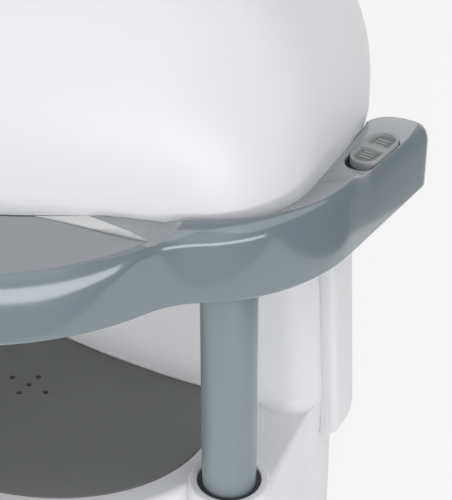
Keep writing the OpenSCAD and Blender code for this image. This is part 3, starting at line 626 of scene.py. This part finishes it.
def collarOutline(bm, look, hood):
    # from one arm's root round the nose to the other's
    nose, shoulder, waist = waistCentre(look)
    start = walkStart(bm, 0.0, nose.y - look["noseRadius"])
    vert = walkArc(bm, start, nose, bearing(nose, waist) + 90.0, 110)
    vert = walkArc(bm, vert, waist, bearing(waist, shoulder) - bearing(waist, nose), 36)
    vert = walkArc(bm, vert, shoulder, -bearing(shoulder, waist), 34)
    tipY = look["armEnd"] - look["armTurn"]
    tip = flat(hoodSideX(hood, tipY) + look["armGap"], tipY)
    inner = flat(tip.x, look["armEnd"])
    vert = walkCorner(bm, vert, flat(look["armX"], look["armEnd"]), inner, look["armRound"], 14, 18)
    vert = walkCorner(bm, vert, inner, tip, look["armTurn"], 12)
    for i in range(1, 13):
        y = tipY + (look["back"] - tipY) * i / 12
        vert = walkLine(bm, vert, flat(hoodSideX(hood, y) + look["armGap"], y))
    return mirroredChain(bm)

def frontAlong(hood):
    # the way of the hood's right front face, from the prow to the corner
    return flat(hood["corner"][0], hood["corner"][1] - hood["prow"]).normalized()

def frontApart(hood, place):
    # how far a place lies in front of the hood's front faces
    along = frontAlong(hood)
    return abs(place.x) * along.y - (place.y - hood["prow"]) * along.x

def deckRise(deck, hood, place):
    # the deck runs up to the hood's front faces in a hollow curve
    return deck["coveRise"] * easeOf(1.0 - shareOf(frontApart(hood, place), 0.0, deck["coveWidth"]))

def stepFoot(deck, x):
    # the slanted line at which the deck ends
    rimX, innerX = deck["backEnds"]
    return blend(deck["innerBack"], deck["back"], shareOf(abs(x), innerX, rimX))

def topAt(look, deck, hood, place, top):
    # height of the collar's top outside the hood: deck, step, shoulders, slope, arms
    if place.y < deck["stepTop"]:
        foot = min(stepFoot(deck, place.x), deck["stepTop"] - deck["endRun"])
        low = top - look["sink"] + deckRise(deck, hood, place)
        return blend(low, top, shareOf(place.y, foot, deck["stepTop"]))
    lipFall = easeOf(shareOf(place.y, *look["ramp"]))
    footFall = max(lipFall, easeOf(shareOf(place.y, *look["troughStart"])))
    apart = max(frontApart(hood, place), abs(place.x) - hoodSideX(hood, place.y))
    return top - look["sink"] * blend(footFall, lipFall, shareOf(apart, 0.0, look["trough"]))

def lipLevel(look, place, top):
    # beside the deck the lip ends low, at the deck's rim
    return top - look["sink"] * (1.0 - shareOf(place.y, *look["lipStep"]))

def rimGap(look, deck, place):
    return deck["rimRadius"] - hypot(place.x, place.y - look["noseY"])

def onStep(look, deck, place):
    back, inside = deck["stepMargin"]
    return place.y > deck["innerBack"] - back and rimGap(look, deck, place) > inside

def fadedTop(look, deck, hood, place, top):
    # the top with its step running out towards the lip
    level = topAt(look, deck, hood, place, top)
    if place.y >= look["lipStep"][1]:
        return level
    return blend(lipLevel(look, place, top), level, shareOf(rimGap(look, deck, place), 0.0, look["stepFade"]))

def blendLip(lip, other, share):
    return tuple(blend(a, b, share) for a, b in zip(lip, other))

def rollAt(look, deck, hood, place, top):
    # the lip's inset, its drop, the height of its highest line and the turn at which it ends
    lip = blendLip(look["noseLip"], look["waistLip"], shareOf(place.y, *look["waistBlend"]))
    lip = blendLip(lip, look["shoulderLip"], shareOf(place.y, *look["shoulderBlend"]))
    if place.y < look["armY"]:
        return *lip, top, asin(1.0 - (top - lipLevel(look, place, top)) / lip[1])
    share = shareOf(place.y, look["armEnd"] - look["endBlend"], look["armEnd"])
    if abs(place.x) < look["armX"] - look["armInside"]:
        lip = blendLip(look["innerLip"], look["endLip"], share * share)
    else:
        lip = blendLip(lip, look["armLip"], shareOf(place.y, *look["ramp"]))
        lip = blendLip(lip, look["endLip"], share)
    return *lip, topAt(look, deck, hood, place, top), radians(90.0)

def growCollarWall(bm, look, deck, hood, low, high):
    # hem, foot edge, outer wall and lip, as far as the lip's last line
    chain = collarOutline(bm, look, hood)
    outline, ways = traced(chain)
    ways[0] = flat(-1.0, 0.0)
    ways[-1] = flat(1.0, 0.0)
    rolls = [rollAt(look, deck, hood, p, high.z) for p in outline]
    hemTop, hemFoot = look["hem"]
    for vert, place in zip(chain, insetTo(outline, ways, look["wall"], low.z + hemTop)):
        vert.co = place
    ring = growLoop(bm, chain, insetTo(outline, ways, look["wall"], low.z + hemFoot), closed=False)
    for draw, fall in reversed(roundOver(look["footEdge"], 5)):
        ring = growLoop(bm, ring, insetTo(outline, ways, draw, low.z + fall), closed=False)
    for i in range(look["lipSteps"] + 1):
        places = []
        for p, n, (lip, drop, peak, turn) in zip(outline, ways, rolls):
            a = turn * i / look["lipSteps"]
            places.append(p + n * lip * (1 - cos(a)) + up(peak - drop * (1 - sin(a))))
        ring = growLoop(bm, ring, places, closed=False)
    return ring

def walkNose(bm, look, radius, back, steps):
    # round the nose, from its front as far as the line y = back
    turn = degrees(asin((back - look["noseY"]) / radius)) + 90.0
    start = walkStart(bm, 0.0, look["noseY"] - radius)
    return walkArc(bm, start, flat(0.0, look["noseY"]), turn, steps)

def shoulderLine(bm, look, deck, hood):
    # inner edge of the visible top: the deck's rim, the foot of the step, then the hood's foot
    prow, corner, backCorner = hoodCorners(hood)
    vert = walkNose(bm, look, deck["rimRadius"], deck["back"], 48)
    vert = walkLine(bm, vert, lineAt(prow, corner, deck["innerBack"]), 12)
    vert = walkCorner(bm, vert, corner, backCorner, hood["cornerRadius"], 14, 10)
    walkLine(bm, vert, lineAt(corner, backCorner, look["back"]), 8)
    return mirroredChain(bm)

def prowFoot(bm, hood, back):
    # the hood's foot in front, where it stands in the deck
    prow, corner = hoodCorners(hood)[:2]
    walkLine(bm, walkProw(bm, hood), lineAt(prow, corner, back), 4)
    return mirroredChain(bm)

def stadiumLoop(bm, x, front, back, width, z):
    half = width / 2
    start = walkStart(bm, x - half, front + half)
    vert = walkArc(bm, start, flat(x, front + half), 180.0, 16)
    vert = walkLine(bm, vert, flat(x + half, back - half))
    vert = walkArc(bm, vert, flat(x, back - half), 180.0, 16)
    return closeWalk(bm, vert, start, z)

def stackStadiums(bm, x, front, back, width, rises):
    # joined rings, each drawn in and set to its height
    rings = [stadiumLoop(bm, x, front + draw, back - draw, width - 2 * draw, z) for draw, z in rises]
    for ring, onward in zip(rings, rings[1:]):
        bridge(bm, ring, onward)
    return rings

def cutSlots(bm, slider, level, depth):
    # the slots' walls, with the edges round their mouths
    ease = slider["slotEdge"]
    front = slider["y"] - slider["length"] / 2 - slider["travel"] - slider["gap"]
    back = slider["y"] + slider["length"] / 2 + slider["gap"]
    rises = [(-out, level - fall) for fall, out in roundOver(ease, 4)[1:]]
    rises = [(-ease, 0.0)] + rises + [(0.0, level - depth)]
    rims = []
    for side in (-1, 1):
        rings = stackStadiums(bm, side * slider["x"], front, back, slider["width"] + 2 * slider["gap"], rises)
        rims += edgesOf(bm, rings[0])
    return rims

def fillCollarTop(bm, look, deck, hood, slider, ring, top):
    # filled flat, creased across, then lifted to its heights
    inner = shoulderLine(bm, look, deck, hood)
    heights = [v.co.z for v in ring]
    liftLoop(ring, 0.0)
    rim = edgesOf(bm, ring, False) + edgesOf(bm, inner, False)
    rim += [bm.edges.new((ring[0], inner[0])), bm.edges.new((ring[-1], inner[-1]))]
    rim += cutSlots(bm, slider, top - look["sink"], look["wall"])
    faces = fillFlat(bm, rim)
    creases = [deck["stepTop"] - deck["endRun"], deck["stepTop"]]
    creases += [blend(*look["ramp"], i / look["rampSteps"]) for i in range(look["rampSteps"] + 1)]
    for y in creases:
        faces = bisectAt(bm, faces, flat(0.0, y), (0.0, 1.0, 0.0))
    for vert in {v for f in faces for v in f.verts}:
        vert.co.z = fadedTop(look, deck, hood, vert.co, top)
    for vert, z in zip(ring, heights):
        vert.co.z = z
    return faces

def makeCollar(look, deck, hood, slider):
    low, high = boxOf("collar")
    sill = high.z - look["sink"] - look["wall"]
    bm = bmesh.new()
    ring = growCollarWall(bm, look, deck, hood, low, high)
    faces = fillCollarTop(bm, look, deck, hood, slider, ring, high.z)
    for face in faces:
        middle = face.calc_center_median()
        # faces behind the step take the lighter slate: painted light on the collar's tops
        if middle.y > deck["stepTop"]:
            face.material_index = 2
        # faces on the step take the near-white slate: a painted highlight
        elif onStep(look, deck, middle):
            face.material_index = 1
    bare = [e for e in {e for f in faces for e in f.edges} if len(e.link_faces) == 1]
    front = [e for e in bare if max(v.co.y for v in e.verts) < deck["back"] + slack]
    grown = bmesh.ops.extrude_edge_only(bm, edges=front)["geom"]
    liftLoop(vertsIn(grown), sill)
    # the step's front wall also takes the near-white painted highlight
    for face in facesIn(grown):
        face.material_index = 1 if onStep(look, deck, face.calc_center_median()) else 0
    prowLine = prowFoot(bm, hood, deck["innerBack"])
    growLoop(bm, prowLine, lowerTo([v.co for v in prowLine], high.z), closed=False)
    liftLoop(prowLine, sill)
    makePiece("collarBody", bm, "slateGloss", "hood", ["collar"], sharp=30.0,
              extras=("stepSatinPaintedHighlight", "shoulderSatinPaintedLight"))

def deckOutline(bm, look, collar, hood):
    # round in front, the hood's foot behind, a slanted end at each side
    vert = walkNose(bm, collar, look["rimRadius"] - look["gap"], look["back"] - look["backGap"], 40)
    slant = frontAlong(hood)
    face = flat(0.0, hood["prow"]) + flat(-slant.y, slant.x) * -look["gap"]
    vert = walkLine(bm, vert, face + slant * (look["innerBack"] - look["backGap"] - face.y) / slant.y)
    lean = atan2(slant.x, slant.y)
    prowCentre = flat(0.0, hood["prow"] + hood["prowRadius"] / sin(lean))
    vert = walkLine(bm, vert, prowCentre + flat(slant.y, -slant.x) * (hood["prowRadius"] + look["gap"]))
    walkArc(bm, vert, prowCentre, -(90.0 - degrees(lean)), 14)
    return mirroredLoop(bm)

def makeDeck(look, collar, hood):
    low, high = boxOf("front_deck")
    bm = bmesh.new()
    loop = liftLoop(deckOutline(bm, look, collar, hood), low.z)
    outline, inward = traced(loop)
    ring = loop
    for draw, fall in roundOver(look["edge"], 4):
        ring = growLoop(bm, ring, insetTo(outline, inward, draw, high.z - fall))
    faces = fillFlat(bm, edgesOf(bm, ring))
    along = frontAlong(hood)
    prow = Vector((0.0, hood["prow"], high.z))
    for side in (-1, 1):
        out = flat(side * along.y, -along.x)
        for i in range(1, look["coveSteps"] + 1):
            apart = look["coveWidth"] * i / look["coveSteps"]
            faces = bisectAt(bm, faces, prow + out * apart, out)
    capLoop(bm, loop)
    for vert in bm.verts:
        if vert.co.z > low.z + slack:
            vert.co.z += deckRise(look, hood, vert.co)
    makePiece("deckPanel", bm, "deckSatin", "hood", ["front_deck"], sharp=30.0)

def padLoop(bm, x, y, way, half, reach, z):
    # half of the slider's face: straight along the bar, round at the end
    start = walkStart(bm, x - way * half, y)
    vert = walkLine(bm, start, flat(x - way * half, y - way * reach))
    vert = walkArc(bm, vert, flat(x, y - way * reach), 180.0, 18)
    vert = walkLine(bm, vert, flat(x + way * half, y))
    return closeWalk(bm, vert, start, z)

def makeSlider(name, look, side, body, node, level):
    low = boxOf(node)[0]
    bm = bmesh.new()
    x = side * look["x"]
    front = look["y"] - look["length"] / 2
    back = look["y"] + look["length"] / 2
    top = level + look["rise"]
    padTop = top - look["padSink"]
    rises = [(0.0, level - look["sunk"])]
    rises += [(draw, top - fall) for draw, fall in roundOver(look["edge"], 4)]
    rings = stackStadiums(bm, x, front, back, look["width"], rises)
    capLoop(bm, rings[0])
    rims = edgesOf(bm, rings[-1])
    half = look["width"] / 2 - look["rim"]
    reach = look["length"] / 2 - look["width"] / 2 - look["bar"] / 2
    slope = look["padSlope"]
    for way in (-1, 1):
        y = look["y"] - way * look["bar"] / 2
        upper = padLoop(bm, x, y, way, half, reach, top)
        lower = padLoop(bm, x, y - way * slope, way, half - slope, reach - slope, padTop)
        bridge(bm, upper, lower)
        # the pad floors take the darker finish: painted shade in the recess
        for face in capLoop(bm, lower):
            face.material_index = 1
        rims += edgesOf(bm, upper)
    fillFlat(bm, rims)
    for way in (-1, 1):
        for i in range(look["ribs"]):
            y = look["y"] - way * (look["bar"] / 2 + look["ribStart"] + look["ribStep"] * i)
            addBlock(bm, (x, y, padTop), look["ribSize"])
    stemTop = level - look["stemDrop"]
    addBlock(bm, (x, look["y"], (low.z + stemTop) / 2), (*look["stemSize"], stemTop - low.z))
    makePiece(name, bm, "sliderSatin", body, [node], sharp=30.0, extras=("padGrainPaintedShade",))

makeCollar(collarLook, deckLook, hoodLook, sliderLook)
makeDeck(deckLook, collarLook, hoodLook)
armLevel = boxOf("collar")[1].z - collarLook["sink"]
makeSlider("sliderRight", sliderLook, 1, "thumb_right", "slider_right", armLevel)
makeSlider("sliderLeft", sliderLook, -1, "thumb_left", "slider_left", armLevel)
print("collar, deck and sliders made")

# Base

baseLook = dict(
    ovalX=124.0,
    ovalY=99.0,
    ovalMiddle=2.0,
    postX=138.0,
    postY=-6.0,
    bossRadius=21.0,
    bossHeight=4.0,
    bossEdge=1.6,
    bossWall=3.0,
    bossSink=2.0,
    ringRadius=16.5,
    flankRadius=60.0,
    backRadius=38.0,
    wall=3.0,
    hem=6.0,
    topEdge=4.0,
    topRim=0.3,
    seamEdge=0.4,
    edgeSpan=(36.0, 66.0),
    footEdge=2.0,
)
columnLook = dict(
    front=46.0,
    bowRadius=530.0,
    frontRadius=18.0,
    topEdge=4.0,
    topRim=0.3,
    cove=9.0,
    coveFade=(58.0, 74.0),
    coveSides=(112.0, 128.0),
)
trayLook = dict(
    halfWidth=110.0,
    halfDepth=85.0,
    endTurn=12.0,
    cornerRadius=14.0,
    cornerShare=0.9,
    bowShare=0.6,
    gap=0.3,
    footGap=0.05,
    edge=0.7,
    thickness=3.0,
    ventRadius=1.6,
    vents=((0.0, 0.0), (12.0, 0.0), (-12.0, 0.0), (0.0, 8.5), (0.0, -8.5)),
)

def bowAt(column, x):
    return column["front"] + column["bowRadius"] - sqrt(column["bowRadius"] ** 2 - x * x)

def bowCentre(column):
    return flat(0.0, column["front"] + column["bowRadius"])

def bowCorner(column, flankX):
    # where the bow's tangent at its end meets the flank
    endX = flankX - 2 * column["frontRadius"]
    endY = bowAt(column, endX)
    slope = endX / (column["front"] + column["bowRadius"] - endY)
    return endX, flat(flankX, endY + (flankX - endX) * slope)

def walkOval(bm, halfX, halfY, middleY, toTurn, steps):
    # a round walk, pressed into an oval
    start = walkStart(bm, 0.0, -halfX)
    vert = walkArc(bm, start, flat(0.0, 0.0), toTurn + 90.0, steps)
    walked = chainFrom(start)
    bmesh.ops.scale(bm, vec=(1.0, halfY / halfX, 1.0), verts=walked)
    bmesh.ops.translate(bm, vec=(0.0, middleY, 0.0), verts=walked)
    return vert

def bossMeet(look):
    # turn of the oval at which it runs into the boss
    low, high = -40.0, 0.0
    for _ in range(40):
        mid = (low + high) / 2
        x = look["ovalX"] * cos(radians(mid)) - look["postX"]
        y = look["ovalMiddle"] + look["ovalY"] * sin(radians(mid)) - look["postY"]
        if hypot(x, y) > look["bossRadius"]:
            low = mid
        else:
            high = mid
    return low

def walkBack(bm, vert, corner, radius):
    # round the rear corner and on to the middle of the back
    middle = flat(0.0, corner.y)
    vert = walkCorner(bm, vert, corner, middle, radius, 14)
    walkLine(bm, vert, middle)
    return mirroredLoop(bm)

def baseOutline(bm, look, column):
    columnHigh = boxOf("rear_column")[1]
    backCorner = flat(columnHigh.x, columnHigh.y)
    vert = walkOval(bm, look["ovalX"], look["ovalY"], look["ovalMiddle"], bossMeet(look), 60)
    post = flat(look["postX"], look["postY"])
    flankEnd = bowCorner(column, columnHigh.x)[1]
    away = flankEnd - post
    leave = bearing(post, flankEnd) - degrees(acos(look["bossRadius"] / away.length))
    vert = walkArc(bm, vert, post, leave - bearing(post, vert.co), 26)
    vert = walkCorner(bm, vert, flankEnd, backCorner, look["flankRadius"], 6)
    return walkBack(bm, vert, backCorner, look["backRadius"])

def trayLoop(bm, look, base, column, grow, z):
    vert = walkOval(bm, look["halfWidth"] + grow, look["halfDepth"] + grow, base["ovalMiddle"],
                    look["endTurn"], 60)
    cornerX = look["cornerShare"] * look["halfWidth"] + grow
    bowX = look["bowShare"] * look["halfWidth"]
    corner = flat(cornerX, bowAt(column, cornerX) - look["gap"] + grow)
    onward = flat(bowX, bowAt(column, bowX) - look["gap"] + grow)
    vert = walkCorner(bm, vert, corner, onward, look["cornerRadius"] + grow, 8)
    vert = walkLine(bm, vert, onward)
    centre = bowCentre(column)
    walkArc(bm, vert, centre, -90.0 - bearing(centre, vert.co), 8)
    return liftLoop(mirroredLoop(bm), z)

def circleEdges(bm, x, y, z, radius, segments):
    verts = bmesh.ops.create_circle(bm, cap_ends=False, segments=segments, radius=radius,
                                    matrix=Matrix.Translation((x, y, z)))["verts"]
    return list({e for v in verts for e in v.link_edges})

def growBaseWall(bm, look, column, low, top):
    # hem, foot edge, wall and a top edge that is sharper beside the column
    loop = baseOutline(bm, look, column)
    outline, inward = traced(loop)
    eases = [blend(look["topEdge"], look["seamEdge"], shareOf(p.y, *look["edgeSpan"])) for p in outline]
    for vert, place in zip(loop, insetTo(outline, inward, look["wall"], low + look["hem"])):
        vert.co = place
    ring = growLoop(bm, loop, insetTo(outline, inward, look["wall"], low))
    for draw, fall in reversed(roundOver(look["footEdge"], 3)):
        ring = growLoop(bm, ring, insetTo(outline, inward, draw, low + fall))
    for draw, fall in roundOver(1.0, 6):
        places = [p + n * e * draw + up(top - e * fall) for p, n, e in zip(outline, inward, eases)]
        ring = growLoop(bm, ring, places)
    places = [p + n * (e + look["topRim"]) for p, n, e in zip(outline, inward, eases)]
    return growLoop(bm, ring, lowerTo(places, top))

def bossProfile(look, deck):
    top = deck + look["bossHeight"]
    edge = look["bossEdge"]
    foot = deck - look["bossSink"]
    crown = [(look["bossRadius"] - draw, top - fall) for draw, fall in roundOver(edge, 4)]
    inside = [(look["ringRadius"] + draw, top - fall) for draw, fall in reversed(roundOver(edge / 2, 3))]
    return [(look["bossRadius"], foot)] + crown + inside + [(look["ringRadius"], foot)]

def makeBase(look, column, tray):
    deck = boxOf("base_tray")[1].z
    bm = bmesh.new()
    ring = growBaseWall(bm, look, column, boxOf("base_shell")[0].z, deck)
    mouth = trayLoop(bm, tray, look, column, 2 * tray["gap"], deck)
    floor = trayLoop(bm, tray, look, column, tray["gap"], deck - tray["thickness"])
    bridge(bm, mouth, floor)
    capLoop(bm, floor)
    holes = edgesOf(bm, mouth)
    holeRadius = look["bossRadius"] - look["bossWall"]
    for side in (-1, 1):
        holes += circleEdges(bm, side * look["postX"], look["postY"], deck, holeRadius, 48)
    fillFlat(bm, edgesOf(bm, ring) + holes)
    for side in (-1, 1):
        lathe(bm, bossProfile(look, deck), (side * look["postX"], look["postY"]), 64)
    makePiece("baseBody", bm, "glossWhite", "base", ["base_shell"])

def makeColumn(look, base, slope):
    low, high = boxOf("rear_column")
    bm = bmesh.new()
    endX, corner = bowCorner(look, high.x)
    backCorner = flat(high.x, high.y)
    start = walkStart(bm, 0.0, look["front"])
    vert = walkArc(bm, start, bowCentre(look), degrees(asin(endX / look["bowRadius"])), 14)
    vert = walkCorner(bm, vert, corner, backCorner, look["frontRadius"], 12)
    loop = walkBack(bm, vert, backCorner, base["backRadius"])
    outline, inward = traced(loop)
    coves = []
    for p in outline:
        share = shareOf(abs(p.x), *look["coveSides"]) * (1.0 - shareOf(p.y, *look["coveFade"]))
        coves.append(look["cove"] * share)
    for vert, n, cove in zip(loop, inward, coves):
        vert.co -= n * cove
        vert.co.z = low.z
    ring = loop
    for draw, fall in roundOver(1.0, 7)[1:]:
        lift = up(low.z + look["cove"] * draw)
        ring = growLoop(bm, ring, [p - n * cove * fall + lift for p, n, cove in zip(outline, inward, coves)])
    edge = look["topEdge"]
    rises = [(draw, high.z - fall) for draw, fall in roundOver(edge, 6)]
    for draw, z in rises + [(edge + look["topRim"], high.z)]:
        scale = 1.0 - slope * (z - low.z)
        places = insetTo(outline, inward, draw, z)
        ring = growLoop(bm, ring, [Vector((p.x * scale, p.y, z)) for p in places])
    capLoop(bm, ring)
    capLoop(bm, loop)
    makePiece("columnWall", bm, "glossWhite", "base", ["rear_column"])

def makeTray(look, base, column):
    low, high = boxOf("base_tray")
    foot = low.z + look["footGap"]
    bm = bmesh.new()
    upper = trayLoop(bm, look, base, column, -look["edge"], high.z)
    middle = trayLoop(bm, look, base, column, 0.0, high.z - look["edge"])
    lower = trayLoop(bm, look, base, column, 0.0, foot)
    bridge(bm, upper, middle)
    bridge(bm, middle, lower)
    tops = edgesOf(bm, upper)
    bottoms = edgesOf(bm, lower)
    for x, y in look["vents"]:
        ventTop = circleEdges(bm, x, y, high.z, look["ventRadius"], 20)
        ventFoot = circleEdges(bm, x, y, foot, look["ventRadius"], 20)
        bmesh.ops.bridge_loops(bm, edges=ventTop + ventFoot)
        tops += ventTop
        bottoms += ventFoot
    fillFlat(bm, tops)
    fillFlat(bm, bottoms, -1)
    makePiece("trayPlate", bm, "trayGrain", "base", ["base_tray"], sharp=30.0)

tubeLooks = (
    # name, node, finish, body, slot, wall, edge
    ("postRight", "post_right", "slateTube", "hood", "post_gloss", 2.0, 0.6),
    ("postLeft", "post_left", "slateTube", "hood", "post_gloss", 2.0, 0.6),
    ("rodRight", "rod_right", "rodSteel", "base", "rod_steel", 2.0, 0.5),
    ("rodLeft", "rod_left", "rodSteel", "base", "rod_steel", 2.0, 0.5),
)
shadeRingLook = dict(
    wall=2.2,
    edge=0.8,
)

def tubeProfile(radius, wall, edge, foot, top):
    rounds = roundOver(edge, 3)
    lower = [(radius - draw, foot + fall) for draw, fall in reversed(rounds)]
    upper = [(radius - draw, top - fall) for draw, fall in rounds]
    return lower + upper + [(radius - wall, top), (radius - wall, foot)]

def makeTube(name, node, finish, body, slot, wall, edge):
    low, high = boxOf(node)
    bm = bmesh.new()
    middle = ((low.x + high.x) / 2, (low.y + high.y) / 2)
    lathe(bm, tubeProfile((high.x - low.x) / 2, wall, edge, low.z, high.z), middle, 72)
    makePiece(name, bm, finish, body, [node])

# black rings in the gap round each post: a dark part standing in for the painted shade down in that gap
def makeShadeRings(look, base):
    low, high = boxOf("boss_rings")
    bm = bmesh.new()
    profile = tubeProfile(base["ringRadius"], look["wall"], look["edge"], low.z, high.z)
    for side in (-1, 1):
        lathe(bm, profile, (side * base["postX"], base["postY"]), 64)
    makePiece("bossShadeRings", bm, "blackMatt", "base", ["boss_rings"])

makeBase(baseLook, columnLook, trayLook)
makeColumn(columnLook, baseLook, draftSlope(hoodLook))
makeTray(trayLook, baseLook, columnLook)
for tube in tubeLooks:
    makeTube(*tube)
makeShadeRings(shadeRingLook, baseLook)
print("base, column, tray and posts made")

# Carried-over nodes

nodeFinishes = {
    "blackMatt": ["base_cover", "mains_inlet", "switch_right", "switch_left", "crown_grille", "impeller"],
    "footRubber": ["base_feet"],
    "castIron": ["base_weight"],
    "zincSteel": ["base_screws", "underside_screws", "hood_screws", "bracket_screws", "rod_flanges",
                  "motor_bracket", "fan_shaft"],
    "naturalNylon": ["rod_guides", "post_glides"],
    "brightBrass": ["inlet_pins"],
    "slateGloss": ["collar_underside"],
    "linerSatin": ["hood_liner"],
    "tintedSteel": ["heater_rings", "heater_frame"],
    "canPaint": ["fan_motor", "thermostat"],
}
for finish, names in nodeFinishes.items():
    for name in names:
        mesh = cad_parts[name].data
        mesh.materials.clear()
        mesh.materials.append(finishes[finish])
print("carried-over nodes finished")

# Studio

cameraTurn = radians(cameraSpot["turn"])
studio = dict(
    ambient=0.41,
    # the two facings between which a side brightens, and its strength at each
    farRoom=(0.30, 0.85, 0.10, 1.0),
    leftRoom=(-0.75, -0.25, 0.10, 0.55),
    tableFront=0.38,
    tableSide=0.46,
    tableSize=6.0,
    tableColour=(0.86, 0.86, 0.87, 1.0),
    tableRoughness=0.9,
    tableGlow=0.8,
    lamps=(
        # name, place, aim, width, height, watts
        ("topSoftbox", (-0.45, -0.55, 1.40), (0.0, 0.0, 0.25), 1.0, 0.8, 1.0),
        ("sideSoftbox", (1.15, 0.0, 1.35), (0.0, 0.0, 0.25), 1.7, 1.5, 9.8),
        ("frontSoftbox", (-0.25, -1.35, 0.15), (0.06, 0.05, 0.15), 1.4, 0.5, 6.0),
        ("cameraSoftbox", (0.62, -1.00, 0.75), (0.06, 0.05, 0.18), 1.4, 1.0, 2.0),
        ("backSoftbox", (-0.85, 1.35, 1.45), (0.12, 0.05, 0.27), 1.1, 1.1, 2.6),
        ("lowStrip", (0.84, -0.66, 0.05), (0.1, -0.08, 0.25), 0.90, 0.22, 2.6),
    ),
)

def largest(tree, sources):
    seen = sources[0]
    for source in sources[1:]:
        larger = addNode(tree, "ShaderNodeMath", feeds={0: seen, 1: source})
        larger.operation = "MAXIMUM"
        seen = larger.outputs["Value"]
    return seen

def mixOf(tree, share, first, second):
    return addNode(tree, "ShaderNodeMixShader", feeds={"Fac": share, 1: first, 2: second}).outputs["Shader"]

def backgroundOf(tree, strength):
    return addNode(tree, "ShaderNodeBackground", {"Color": (1.0, 1.0, 1.0, 1.0), "Strength": strength})

def roomShade(tree, coords, way, span):
    facing = addNode(tree, "ShaderNodeVectorMath", {1: way}, {0: coords})
    facing.operation = "DOT_PRODUCT"
    limits = dict(zip(("From Min", "From Max", "To Min", "To Max"), span))
    return addNode(tree, "ShaderNodeMapRange", limits, {"Value": facing.outputs["Value"]}).outputs["Result"]

def makeWorld(look):
    # white behind the object; reflections alone show a room, darker at the right and behind the camera
    world = bpy.data.worlds.new("studioWorld")
    scene.world = world
    world.use_nodes = True
    tree = world.node_tree
    tree.nodes.clear()
    soft = backgroundOf(tree, look["ambient"]).outputs["Background"]
    white = backgroundOf(tree, 1.0).outputs["Background"]
    room = backgroundOf(tree, 1.0)
    coords = addNode(tree, "ShaderNodeTexCoord").outputs["Generated"]
    toFar = roomShade(tree, coords, (-sin(cameraTurn), cos(cameraTurn), 0.0), look["farRoom"])
    toLeft = roomShade(tree, coords, (-cos(cameraTurn), -sin(cameraTurn), 0.0), look["leftRoom"])
    tree.links.new(largest(tree, (toFar, toLeft)), room.inputs["Strength"])
    rays = addNode(tree, "ShaderNodeLightPath").outputs
    inMirror = largest(tree, (rays["Is Glossy Ray"], rays["Is Transmission Ray"]))
    mirrored = mixOf(tree, inMirror, soft, room.outputs["Background"])
    seen = mixOf(tree, rays["Is Camera Ray"], mirrored, white)
    addNode(tree, "ShaderNodeOutputWorld", feeds={"Surface": seen})

def paperFinish(look):
    material, tree, shader = newFinish("palePaper")
    wire(tree, shader, {"Base Color": look["tableColour"], "Roughness": look["tableRoughness"]})
    glow = addNode(tree, "ShaderNodeEmission", {"Strength": 1.0}).outputs["Emission"]
    rays = addNode(tree, "ShaderNodeLightPath").outputs
    seen = largest(tree, (rays["Is Camera Ray"], rays["Is Glossy Ray"], rays["Is Transmission Ray"]))
    part = addNode(tree, "ShaderNodeMath", {1: look["tableGlow"]}, {0: seen})
    part.operation = "MULTIPLY"
    lit = mixOf(tree, part.outputs["Value"], shader.outputs["BSDF"], glow)
    tree.links.new(lit, tree.nodes["Material Output"].inputs["Surface"])
    return material

def makeFloor(look):
    # a pale table, its front and right edges square to the camera
    half = look["tableSize"] / 2
    bm = bmesh.new()
    bmesh.ops.create_grid(bm, x_segments=2, y_segments=2, size=half)
    bmesh.ops.translate(bm, vec=(look["tableSide"] - half, half - look["tableFront"], 0.0), verts=bm.verts[:])
    bmesh.ops.rotate(bm, cent=(0.0, 0.0, 0.0), matrix=Matrix.Rotation(cameraTurn, 3, "Z"), verts=bm.verts[:])
    mesh = bpy.data.meshes.new("studioTable")
    bm.to_mesh(mesh)
    bm.free()
    mesh.materials.append(paperFinish(look))
    floor = bpy.data.objects.new("studioTable", mesh)
    scene.collection.objects.link(floor)

def makeLamps(look):
    for name, place, aim, width, height, watts in look["lamps"]:
        data = bpy.data.lights.new(name, "AREA")
        data.shape = "RECTANGLE"
        data.size = width
        data.size_y = height
        data.energy = watts
        lamp = bpy.data.objects.new(name, data)
        lamp.location = place
        lamp.rotation_euler = (Vector(aim) - Vector(place)).to_track_quat("-Z", "Y").to_euler()
        scene.collection.objects.link(lamp)

makeWorld(studio)
makeFloor(studio)
makeLamps(studio)
print("studio lit")
